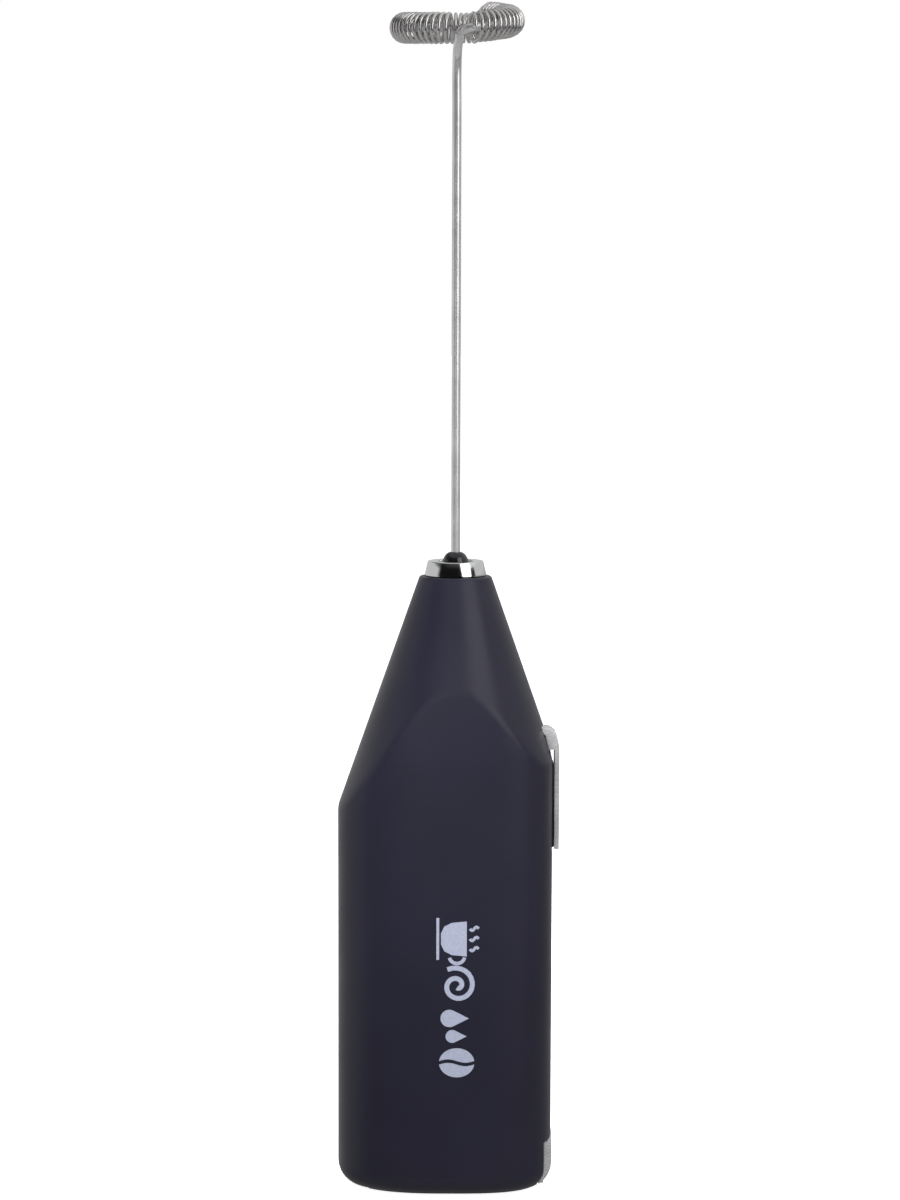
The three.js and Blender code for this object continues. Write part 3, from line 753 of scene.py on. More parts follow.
    @classmethod
    def carve(cls, target: Mesh, operation: str, *tools: Mesh) -> Mesh:
        """Applies boolean operations one after another.

        Args:
            target: The mesh to change; it is used up.
            operation: DIFFERENCE, UNION or INTERSECT.
            tools: The other meshes; they are used up.

        Returns:
            The new mesh.
        """
        for tool in tools:
            holders = []
            for source in (target, tool):
                mesh = bpy.data.meshes.new("carve")
                source.to_mesh(mesh)
                source.free()
                holder = bpy.data.objects.new("carve", mesh)
                bpy.context.scene.collection.objects.link(holder)
                holders.append(holder)
            modifier = holders[0].modifiers.new("carve", "BOOLEAN")
            modifier.operation = operation
            modifier.solver = "EXACT"
            modifier.object = holders[1]
            graph = bpy.context.evaluated_depsgraph_get()
            result = bpy.data.meshes.new_from_object(holders[0].evaluated_get(graph))
            target = bmesh.new()
            target.from_mesh(result)
            meshes = [result, *(holder.data for holder in holders)]
            for holder in holders:
                bpy.data.objects.remove(holder)
            for mesh in meshes:
                bpy.data.meshes.remove(mesh)
            bmesh.ops.remove_doubles(target, verts=target.verts, dist=2e-4)
            bmesh.ops.dissolve_degenerate(target, edges=target.edges, dist=1e-5)
        return target

    @classmethod
    def cut(cls, target: Mesh, *tools: Mesh) -> Mesh:
        """Takes tools away from a mesh."""
        return cls.carve(target, "DIFFERENCE", *tools)

    @classmethod
    def fuse(cls, target: Mesh, *others: Mesh) -> Mesh:
        """Joins meshes into one skin."""
        return cls.carve(target, "UNION", *others)

    @staticmethod
    def piece(name: str, bm: Mesh, finish: Finish, body: Body, replaces: Iterable[str] = (),
              slot: str | None = None, sharp: float = SHARP) -> bpy.types.Object:
        """Hands a mesh over as a finished piece.

        Args:
            name: The piece's name.
            bm: Its mesh in millimetres; it is used up.
            finish: Its finish.
            body: The body that it rides on.
            replaces: CAD nodes that it stands for.
            slot: Not used.
            sharp: Least angle between faces that is drawn as an edge.

        Returns:
            The piece's object.
        """
        bmesh.ops.scale(bm, verts=bm.verts, vec=(METRES, METRES, METRES))
        mesh = bpy.data.meshes.new(name)
        bm.to_mesh(mesh)
        bm.free()
        mesh.shade_smooth()
        mesh.set_sharp_from_angle(angle=sharp)
        mesh.materials.append(finish.build())
        piece = bpy.data.objects.new(name, mesh)
        bpy.context.scene.collection.objects.link(piece)
        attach(piece, body.value)
        replaced = list(replaces)
        if replaced:
            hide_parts(*replaced)
        LOG.info("%s: %d faces on %s", name, len(mesh.polygons), body.value)
        return piece


def arc(centre: Point2, radius: float, start: float, end: float, steps: int) -> list[Point2]:
    """Points on an arc.

    Args:
        centre: The arc's centre.
        radius: Its radius.
        start: First angle in degrees.
        end: Last angle in degrees.
        steps: Number of steps between them.

    Returns:
        The points.
    """
    angles = [math.radians(start + (end - start) * i / steps) for i in range(steps + 1)]
    return [(centre[0] + radius * math.cos(a), centre[1] + radius * math.sin(a)) for a in angles]


# ---------------------------------------------------------------- case


@dataclass(frozen=True)
class CaseForm:
    """The case's shape: an oval prism under a cone about the whisk's axis."""

    height: float = 108.8
    half_width: float = 19.0
    half_depth: float = 13.0
    centre_x: float = -1.7
    left_exponent: float = 2.5
    right_exponent: float = 3.14
    cone_top: float = 6.3
    slope: float = 0.352
    wall: float = 1.8
    cone_wall: float = 1.9
    base_round: float = 4.0

    def oval(self, angle: float, inset: float = 0.0) -> Point2:
        """A point on the oval.

        Args:
            angle: Angle about the case's centre in radians.
            inset: Distance inside the outer surface.

        Returns:
            Its X and Y.
        """
        c, s = math.cos(angle), math.sin(angle)
        power = self.left_exponent if c < 0 else self.right_exponent
        reach = (abs(c / (self.half_width - inset)) ** power + abs(s / (self.half_depth - inset)) ** power) ** (
            -1 / power)
        return self.centre_x + reach * c, reach * s

    def outline(self, inset: float = 0.0, steps: int = 192) -> list[Point2]:
        """The whole oval, counter-clockwise."""
        return [self.oval(2 * math.pi * i / steps, inset) for i in range(steps)]

    def right_arc(self, half: float, inset: float, steps: int = 48) -> list[Point2]:
        """The lever side of the oval.

        Args:
            half: Greatest distance from the seam.
            inset: Distance inside the outer surface.
            steps: Number of steps along it.

        Returns:
            The points, from -half to half.
        """
        low, high = 0.0, math.pi / 2
        for _ in range(40):
            middle = (low + high) / 2
            low, high = (middle, high) if self.oval(middle, inset)[1] < half else (low, middle)
        return [self.oval(-low + 2 * low * i / steps, inset) for i in range(steps + 1)]

    def cone_radius(self, z: float) -> float:
        """The cone's radius at a height."""
        return self.cone_top + self.slope * (self.height - z)

    def base_inset(self, z: float) -> float:
        """How far the rounded lower edge has drawn in at a height."""
        drop = max(0.0, self.base_round - z)
        return self.base_round - math.sqrt(self.base_round**2 - drop**2)

    def blank(self, proud: float, top: float, steps: int = 9) -> Mesh:
        """A solid oval with the rounded lower edge.

        Args:
            proud: Distance outside the case's surface; less than 0 lies inside it.
            top: Its height.
            steps: Number of rings across the rounding.

        Returns:
            The closed mesh.
        """
        lifts = [self.base_round * (1 - math.cos(math.pi / 2 * i / steps)) for i in range(1, steps + 1)]
        rings = []
        for z in (0.0, *lifts, top):
            outline = self.outline(self.base_inset(z) - proud, 192)
            rings.append([(x, y, z) for x, y in outline])
        return Bench.loft(rings)

    def front_y(self, x: float) -> float:
        """Y of the front face's surface at X, below the cone."""
        across = abs(x - self.centre_x) / self.half_width
        power = self.left_exponent if x < self.centre_x else self.right_exponent
        return -self.half_depth * (1 - across**power) ** (1 / power)


@dataclass
class CaseShells:
    """The two moulded halves of the case, split on the plane through the lever."""

    form: CaseForm = field(default_factory=CaseForm)
    columns: int = 112
    seam: float = 0.06
    crease_round: float = 0.7
    neck_bore: float = 4.95
    bore_step: float = 106.0
    cavity_top: float = 103.0
    lip_drop: float = 0.55
    lip: tuple[Point2, ...] = ((6.44, 108.45), (6.3, 108.66), (6.08, 108.77), (5.82, 108.8), (5.4, 108.8))
    rounding_steps: int = 9
    side_steps: int = 16
    cone_steps: int = 12
    inner_steps: int = 8
    bay_half: float = 3.6
    notch_half: float = 7.9
    notch_top: float = 8.95
    notch_depth: float = 1.45

    def column(self, angle: float) -> list[Point3]:
        """One vertical line round the wall: up the outside, down the bore and down the inside.

        Args:
            angle: Angle about the case's centre in radians.

        Returns:
            The points of the closed line.
        """
        form = self.form
        points: list[Point3] = []
        start = math.asin(1 - form.wall / form.base_round)
        for i in range(self.rounding_steps + 1):
            lift = start + (math.pi / 2 - start) * i / self.rounding_steps
            inset = form.base_round * (1 - math.sin(lift))
            points.append((*form.oval(angle, inset), form.base_round * (1 - math.cos(lift))))
        foot = points[0][2]
        x, y = form.oval(angle)
        reach = math.hypot(x, y)
        crease = form.height - (reach - form.cone_top) / form.slope
        for i in range(1, self.side_steps + 1):
            points.append((x, y, form.base_round + (crease - form.base_round) * i / self.side_steps))
        rise = form.height - self.lip_drop - crease
        heights = [crease + rise * i / self.cone_steps for i in range(1, self.cone_steps + 1)]
        outer = [(form.cone_radius(z), z) for z in heights]
        bore = [(self.neck_bore, z) for z in (form.height, self.bore_step, self.cavity_top)]
        points += [(x / reach * r, y / reach * r, z) for r, z in (*outer, *self.lip, *bore)]
        inner_x, inner_y = form.oval(angle, form.wall)
        inner_reach = math.hypot(inner_x, inner_y)
        inner_crease = form.height - (inner_reach + form.cone_wall - form.cone_top) / form.slope
        for i in range(self.inner_steps + 1):
            z = self.cavity_top + (inner_crease - self.cavity_top) * i / self.inner_steps
            r = form.cone_radius(z) - form.cone_wall
            points.append((inner_x / inner_reach * r, inner_y / inner_reach * r, z))
        for i in range(1, self.inner_steps):
            points.append((inner_x, inner_y, inner_crease + (foot - inner_crease) * i / self.inner_steps))
        return points

    def half(self, side: int) -> Mesh:
        """Builds one half as a closed skin.

        Args:
            side: -1 for the front half, 1 for the rear half.

        Returns:
            The closed mesh.
        """
        bm = bmesh.new()
        first = self.column(0.0)
        chain = [bm.verts.new(p) for p in first]
        loop = [bm.edges.new((chain[i], chain[(i + 1) % len(chain)])) for i in range(len(chain))]
        ends = [loop]
        verts = chain
        for step in range(1, self.columns + 1):
            loop, verts = Bench.raise_loop(bm, loop, verts, self.column(side * math.pi * step / self.columns))
        ends.append(loop)
        for end in ends:
            for vert in {v for e in end for v in e.verts}:
                vert.co.y = side * self.seam
            bmesh.ops.edgeloop_fill(bm, edges=end)
        self.round_crease(bm)
        caps = [f for f in bm.faces if len(f.verts) > 6]
        bmesh.ops.triangulate(bm, faces=caps)
        return Bench.tidy(bm)

    def round_crease(self, bm: Mesh) -> None:
        """Rounds the line where the cone meets the oval, outside only."""
        form = self.form
        edges = []
        for edge in bm.edges:
            on_crease = True
            for vert in edge.verts:
                reach = math.hypot(vert.co.x, vert.co.y)
                if abs(form.height - (reach - form.cone_top) / form.slope - vert.co.z) > 1e-3:
                    on_crease = False
            if on_crease and len(edge.link_faces) == 2 and 0.1 < edge.calc_face_angle(0.0) < 0.8:
                along = (edge.verts[0].co - edge.verts[1].co).normalized()
                if abs(along.z) < 0.93 and max(len(f.verts) for f in edge.link_faces) == 4:
                    edges.append(edge)
        bmesh.ops.bevel(bm, geom=edges, offset=self.crease_round, offset_type="OFFSET", segments=3, profile=0.5,
                        affect="EDGES", clamp_overlap=True, material=-1)

    def openings(self) -> list[Mesh]:
        """The cutters for the lever's bay, the latch's notch and the pin holes.

        Returns:
            The cutters.
        """
        form = self.form
        bay, notch = self.bay_half, self.notch_half
        window = Bench.block((14.5, -bay, 59.9), (FAR, bay, 76.1))
        recess = Bench.profile([(16.35, 75.9), (FAR, 75.9), (FAR, 82.4), (11.5, 82.4), (11.5, 80.75),
                                (15.45, 80.75), (16.35, 78.0)], bay)
        wall = form.right_arc(notch, self.notch_depth)[::-1]
        clip = Bench.plate([(FAR, -notch), (FAR, notch), *wall], -1.0, self.notch_top)
        foot = Bench.block((14.8, -notch, -1.0), (FAR, notch, 1.8))
        (hinge_x, hinge_z), (lever_x, lever_z) = HINGE_AXIS, LEVER_AXIS
        hinge = Bench.rod((hinge_x, -6.5, hinge_z), (hinge_x, 6.5, hinge_z), 0.7, 24)
        pivot = Bench.rod((lever_x, -7.1, lever_z), (lever_x, 7.1, lever_z), 0.85, 24)
        return [window, recess, clip, foot, hinge, pivot]

    def details(self, side: int) -> list[Mesh]:
        """Moulded details inside one half: the door's sill, the latch block and the lever's boss.

        Args:
            side: -1 for the front half, 1 for the rear half.

        Returns:
            The solids to join to the wall.
        """
        inside = self.form.blank(-self.form.wall / 2, 100.0)
        near, away = sorted((side * self.seam, side * 9.0))
        block = Bench.block((13.7, near, 2.2), (25.0, away, 11.2))
        near, away = sorted((side * 3.9, side * 14.0))
        outline = [(-25.0, 0.0), (-16.1, 0.0), (-15.5, 0.6), (-15.5, 2.8), (-25.0, 2.8)]
        sill = Bench.slab([(x, near, z) for x, z in outline], (0.0, away - near, 0.0))
        near, away = sorted((side * 3.7, side * 7.4))
        boss = Bench.block((11.4, near, 78.2), (14.4, away, 81.2), 0.2)
        whole = Bench.gather(block, sill, boss)
        return [Bench.carve(whole, "INTERSECT", inside)]

    def build(self) -> None:
        """Makes both halves with their openings."""
        for side, name in ((-1, "front_shell"), (1, "rear_shell")):
            shell = Bench.fuse(self.half(side), *self.details(side))
            shell = Bench.cut(shell, *self.openings())
            Bench.piece(name.replace("shell", "case_half"), shell, SOFT_TOUCH, Body.CASE, [name], "soft_touch",
                        math.radians(28))


# ---------------------------------------------------------------- neck


@dataclass
class Neck:
    """The chrome collar and what it holds: the bush and the lip seal."""

    collar_low: float = 108.95
    collar_top: float = 111.45

    def build(self) -> None:
        """Makes the collar, the bush and the seal."""
        low, top = self.collar_low, self.collar_top
        collar = Bench.turned([(4.1, 104.6), (4.75, 104.6), (4.75, low), (5.44, low), (5.4, 109.25),
                               (4.92, 111.3), (4.82, top), (3.15, top), (3.15, 110.6), (4.1, 110.6)], 128)
        Bench.piece("collar", Bench.soften(collar, 0.06, 3), CHROME, Body.CASE, ["neck_collar"], "chrome")
        bush = Bench.turned([(2.55, 104.6), (3.95, 104.6), (3.95, 108.6), (2.55, 108.6)], 72)
        Bench.piece("bush", Bench.soften(bush, 0.15, 2), BRASS, Body.CASE, ["neck_bush"], "brass")
        seal = Bench.turned([(2.5, 103.35), (3.1, 103.1), (4.7, 103.1), (4.7, 104.3), (3.3, 104.3), (2.9, 103.8),
                             (2.55, 104.1)], 72)
        Bench.piece("lip_seal", seal, SEAL_RUBBER, Body.CASE, ["neck_seal"], "rubber")


# ---------------------------------------------------------------- whisk


@dataclass
class Whisk:
    """The bent whisk wire, the coil threaded on its ring, and the coupler on the motor shaft."""

    wire: float = 0.8
    ring_height: float = 203.95
    ring_radius: float = 9.0
    tilt: float = 4.5
    lift: float = 1.9
    lift_from: float = -80.0
    lift_peak: float = 48.0
    lift_end: float = 69.0
    lift_power: float = 0.9
    coil_from: float = -74.0
    coil_to: float = 266.0
    turns: int = 56
    coil_radius: float = 2.45
    coil_wire: float = 0.31
    steps: int = 20
    spoke: float = -84.0
    stem: tuple[Point2, ...] = ((0.0, 104.5), (0.0, 150.0), (0.0, 190.0), (0.0, 198.2), (0.9, 200.4),
                                (3.6, 201.75), (7.3, 202.85))
    ring_step: float = 8.0
    hub: tuple[Point2, ...] = ((0.0, 103.6), (1.06, 103.6), (1.06, 96.5), (2.2, 96.5), (2.35, 96.7),
                               (2.35, 111.3), (2.3, 111.5), (2.2, 111.75), (2.04, 112.1), (1.84, 112.42),
                               (1.6, 112.68), (1.33, 112.87), (1.08, 112.98), (0.93, 113.0), (0.86, 112.9),
                               (0.86, 104.4), (0.0, 104.4))

    def raised(self, degrees: float) -> float:
        """How far the ring stands above its plane.

        Args:
            degrees: Place round the ring.

        Returns:
            The height.
        """
        if degrees > self.lift_peak:
            t = min(1.0, (degrees - self.lift_peak) / (self.lift_end - self.lift_peak))
            return self.lift * (1 - t * t * (3 - 2 * t))
        t = max(0.0, (degrees - self.lift_from) / (self.lift_peak - self.lift_from))
        return self.lift * t**self.lift_power

    def on_ring(self, degrees: float) -> Vector:
        """A point of the ring's centre line."""
        angle = math.radians(degrees)
        x, y = self.ring_radius * math.cos(angle), self.ring_radius * math.sin(angle)
        return Vector((x, y, self.ring_height + y * math.tan(math.radians(self.tilt)) + self.raised(degrees)))

    def coil_path(self) -> list[Point3]:
        """The coil's centre line, turn after turn round the ring.

        Returns:
            The points.
        """
        total = self.turns * self.steps
        path = []
        for i in range(total + 1):
            degrees = self.coil_from + (self.coil_to - self.coil_from) * i / total
            angle, phase = math.radians(degrees), 2 * math.pi * i / self.steps
            sway = 0.07 * math.sin(degrees * 0.21) + 0.05 * math.sin(degrees * 0.047 + 1.3)
            radius = self.coil_radius - 0.03 + sway * 0.4
            outward, up = radius * math.cos(phase), radius * math.sin(phase)
            place = self.on_ring(degrees + sway * 3.0 * math.sin(phase))
            path.append((place.x + outward * math.cos(angle), place.y + outward * math.sin(angle), place.z + up))
        return path

    def wire_path(self) -> list[Point3]:
        """The whisk wire's centre line from the coupler to its free end in the coil.

        Returns:
            The points.
        """
        angle = math.radians(self.spoke)
        path = [(reach * math.cos(angle), reach * math.sin(angle), z) for reach, z in self.stem]
        degrees = self.spoke + 9.0
        while degrees <= self.coil_to - self.ring_step:
            path.append(tuple(self.on_ring(degrees)))
            degrees += self.ring_step
        return path

    def build(self) -> None:
        """Makes the wire, the coil and the coupler."""
        wire = Bench.wire(self.wire_path(), self.wire, True, 6)
        Bench.piece("whisk_stem", wire, WHISK_STEEL, Body.WHISK, ["whisk_wire"], "chrome", math.radians(50))
        coil = Bench.wire(self.coil_path(), self.coil_wire, False, 2)
        Bench.piece("whisk_spring", coil, COIL_STEEL, Body.WHISK, ["whisk_coil"], "chrome", math.radians(60))
        hub = Bench.turned(self.hub, 96)
        Bench.piece("coupler", hub, HUB_BLACK, Body.WHISK, ["whisk_coupler"], "gloss_black", math.radians(35))


# ---------------------------------------------------------------- motor


@dataclass
class Motor:
    """The small brushed motor in its rubber sleeve."""

    radius: float = 10.05
    flat: float = 7.55
    low: float = 66.0
    top: float = 91.0
    wall: float = 0.8

    def can_form(self, radius: float, flat: float, low: float, high: float) -> Mesh:
        """A round form with two flats.

        Args:
            radius: Its radius.
            flat: Distance of its flats from the axis.
            low: Lower height.
            high: Upper height.

        Returns:
            The closed mesh.
        """
        edge = math.degrees(math.asin(flat / radius))
        outline = arc((0.0, 0.0), radius, -edge, edge, 30) + arc((0.0, 0.0), radius, 180 - edge, 180 + edge, 30)
        return Bench.plate(outline, low, high)

    def build_can(self) -> None:
        """Makes the steel can, its end cap and its terminals."""
        body = Bench.soften(self.can_form(self.radius, self.flat, self.low, self.top), 0.7, 4)
        inner = self.can_form(self.radius - self.wall, self.flat - self.wall, self.low - 1, self.top - self.wall)
        nose = Bench.rod((0, 0, self.top - 0.5), (0, 0, 92.6), 3.07, 48, 0.25)
        bore = Bench.rod((0, 0, 80), (0, 0, 100), 1.15, 32)
        vent = [Bench.block((side * 5.2 - 1.4, -1.1, 89.0), (side * 5.2 + 1.4, 1.1, 95.0)) for side in (-1, 1)]
        open_low = Bench.block((-12, -12, self.low - 2), (12, 12, self.low + 0.05))
        can = Bench.cut(Bench.fuse(body, nose), inner, bore, open_low, *vent)
        Bench.piece("motor_shell", can, CAN_STEEL, Body.CASE, ["motor_can"], "steel")
        cap = Bench.fuse(Bench.soften(self.can_form(self.radius, self.flat, 64.4, 65.8), 0.3, 2),
                         self.can_form(self.radius - 1.1, self.flat - 1.1, 65.0, 67.4))
        cap = Bench.cut(cap, Bench.rod((0, 0, 66.1), (0, 0, 70), 1.15, 32))
        Bench.piece("motor_tail_cap", cap, NYLON, Body.CASE, ["motor_end_cap"], "nylon")
        for side, name in ((-1, "left"), (1, "right")):
            tab = Bench.block((side * 6 - 0.25, -1.3, 62.2), (side * 6 + 0.25, 1.3, 64.1), 0.1)
            eye = Bench.rod((side * 6 - 1, 0, 62.9), (side * 6 + 1, 0, 62.9), 0.42, 24)
            Bench.piece(f"motor_tab_{name}", Bench.cut(tab, eye), BRASS, Body.CASE, [f"motor_terminal_{name}"],
                        "brass")

    def build_magnets(self) -> None:
        """Makes the two curved magnets."""
        for side, name in ((-1, "left"), (1, "right")):
            turn = 0.0 if side > 0 else 180.0
            outline = arc((0.0, 0.0), 8.95, turn - 46, turn + 46, 28) + arc((0.0, 0.0), 6.6, turn + 58, turn - 58, 28)
            magnet = Bench.soften(Bench.plate(outline, 69.5, 85.0), 0.25, 2)
            Bench.piece(f"magnet_{name}", magnet, FERRITE, Body.CASE, [f"motor_magnet_{name}"], "magnet")

    def build_sleeve(self) -> None:
        """Makes the ribbed rubber sleeve."""
        sleeve = Bench.turned([(9.0, 68.0), (10.5, 68.0), (10.9, 68.4), (10.9, 70.0), (10.6, 70.4), (10.6, 72.6),
                               (10.9, 73.0), (10.9, 74.6), (10.5, 75.0), (9.0, 75.0)], 96)
        core = self.can_form(self.radius + 0.3, self.flat + 0.3, 60.0, 80.0)
        fill = [Bench.plate(arc((0, 0), 10.4, a, a + 100, 24), 68.2, 74.8) for a in (40, 220)]
        sleeve = Bench.cut(Bench.fuse(sleeve, *fill), core)
        Bench.piece("motor_cushion", sleeve, SEAL_RUBBER, Body.CASE, ["motor_sleeve"], "rubber")

    def build_rotor(self) -> None:
        """Makes the shaft, the wound armature and the commutator."""
        shaft = Bench.rod((0, 0, 66.4), (0, 0, 103.4), 1.0, 40, 0.15)
        Bench.piece("rotor_shaft", shaft, NICKEL, Body.WHISK, ["motor_shaft"], "steel")
        poles: list[Mesh] = []
        for i in range(3):
            turn = 60.0 + 120.0 * i
            shoe = arc((0, 0), 6.2, turn - 52, turn + 52, 24) + arc((0, 0), 5.2, turn + 50, turn - 50, 24)
            poles.append(Bench.plate(shoe, 71.0, 84.0))
            poles.append(Bench.swung(Bench.block((0.5, -2.3, 71.5), (5.5, 2.3, 83.5), 0.6, 3), turn))
        armature = Bench.fuse(poles[0], *poles[1:])
        armature = Bench.cut(armature, Bench.rod((0, 0, 60), (0, 0, 90), 1.06, 32))
        Bench.piece("wound_armature", armature, WINDING, Body.WHISK, ["motor_armature"], "winding_copper")
        ring = Bench.turned([(1.06, 68.0), (2.3, 68.0), (2.3, 70.4), (1.06, 70.4)], 60)
        slots = [Bench.swung(Bench.block((1.6, -0.12, 67.0), (3.0, 0.12, 71.0)), 120 * i) for i in range(3)]
        Bench.piece("commutator_ring", Bench.cut(ring, *slots), BRASS, Body.WHISK, ["commutator"], "brass")

    def build(self) -> None:
        """Makes the whole motor."""
        self.build_can()
        self.build_magnets()
        self.build_sleeve()
        self.build_rotor()


# ---------------------------------------------------------------- batteries


@dataclass
class BatteryPack:
    """Two round cells side by side with their tray, bulkhead and contacts."""

    left: float = -9.3
    right: float = 5.9
    radius: float = 7.25
    form: CaseForm = field(default_factory=CaseForm)

    def cell(self, x: float, low: float, nub_up: bool) -> Mesh:
        """One cell with its crimped shoulder and nub.

        Args:
            x: Its axis.
            low: Its lowest point.
            nub_up: Whether the nub is at the top.

        Returns:
            The closed mesh.
        """
        r = self.radius
        profile = [(0.0, 0.0), (5.6, 0.0), (5.75, 0.12), (6.5, 0.12), (7.0, 0.3), (r, 0.75), (r, 48.2), (7.15, 48.7),
                   (6.9, 49.0), (6.3, 49.2), (5.9, 49.05), (5.4, 49.0), (2.9, 49.0), (2.75, 49.2), (2.75, 50.2),
                   (2.5, 50.45), (2.2, 50.5), (0.0, 50.5)]
        placed = [(radius, low + z if nub_up else low + 50.5 - z) for radius, z in profile]
        return Bench.turned(placed, 96, (x, 0.0))

    @staticmethod
    def spring(x: float, low: float, high: float, turns: float, outer: float, tip: float) -> Mesh:
        """A tapering contact spring.

        Args:
            x: Its axis.
            low: Its lowest point.
            high: Its highest point.
            turns: Number of turns.
            outer: Radius at the low end.
            tip: Radius at the high end.

        Returns:
            The closed mesh.
        """
        wire = 0.32
        flat = 0.7  # turns that lie flat at each end
        count = int(turns * 28)
        path = []
        for i in range(count + 1):
            t = i / count
            angle = 2 * math.pi * turns * t
            reach = outer + (tip - outer) * t
            climb = max(0.0, min(1.0, (t * turns - flat) / (turns - 2 * flat)))
            path.append((x + reach * math.cos(angle), reach * math.sin(angle),
                         low + wire + (high - low - 2 * wire) * climb))
        return Bench.wire(path, wire, False, 3)

    def contact(self, x: float) -> Mesh:
        """A round contact plate with a solder tab through the bulkhead."""
        disc = Bench.rod((x, 0, 56.4), (x, 0, 56.8), 4.0, 64, 0.08)
        tab = Bench.block((x - 0.25, -0.9, 56.5), (x + 0.25, 0.9, 60.5), 0.08)
        return Bench.fuse(disc, tab)

    def build(self) -> None:
        """Makes the cells, the tray, the bulkhead and the contacts."""
        for name, x, low, up in (("battery_1", self.left, 5.6, True), ("battery_2", self.right, 3.0, False)):
            wrap = CellWrap(f"{name}_wrap", low, low + 50.5, flipped=not up)
            Bench.piece(f"cell_{name[-1]}", self.cell(x, low, up), wrap, Body.CASE, [name], "battery_wrap",
                        math.radians(40))
        tray = Bench.fuse(Bench.block((-13, 7.6, 4.6), (9.6, 8.8, 55.8), 0.3),
                          Bench.block((-2.6, 4.7, 4.6), (-0.8, 8.2, 55.8), 0.25))
        windows = [Bench.block((x - 3.2, 5.0, z), (x + 3.2, 12.0, z + 11.0), 0.6) for x in (-8.6, 5.0)
                   for z in (9.0, 24.5, 40.0)]
        Bench.piece("cell_tray", Bench.cut(tray, *windows), INNER_BLACK, Body.CASE, ["battery_tray"],
                    "inner_plastic")
        bulkhead = Bench.soften(Bench.plate(self.form.outline(2.1, 128), 57.1, 59.1), 0.25, 2)
        holes = [Bench.rod((x, 0, 56), (x, 0, 60), 2.0, 40) for x in (self.left, self.right)]
        ribs = Bench.block((-12.5, -7.6, 58.6), (8.5, -6.9, 59.1))
        Bench.piece("terminal_bulkhead", Bench.cut(bulkhead, *holes, ribs), INNER_BLACK, Body.CASE,
                    ["contact_bulkhead"], "inner_plastic")
        Bench.piece("plus_plate", self.contact(self.left), NICKEL, Body.CASE, ["positive_contact"], "steel")
        Bench.piece("minus_plate", self.contact(self.right), NICKEL, Body.CASE, ["negative_contact"], "steel")
        Bench.piece("minus_spring", self.spring(self.right, 53.8, 56.1, 2.6, 2.2, 3.0), NICKEL, Body.CASE,
                    ["negative_spring"], "steel")


# ---------------------------------------------------------------- door and latch


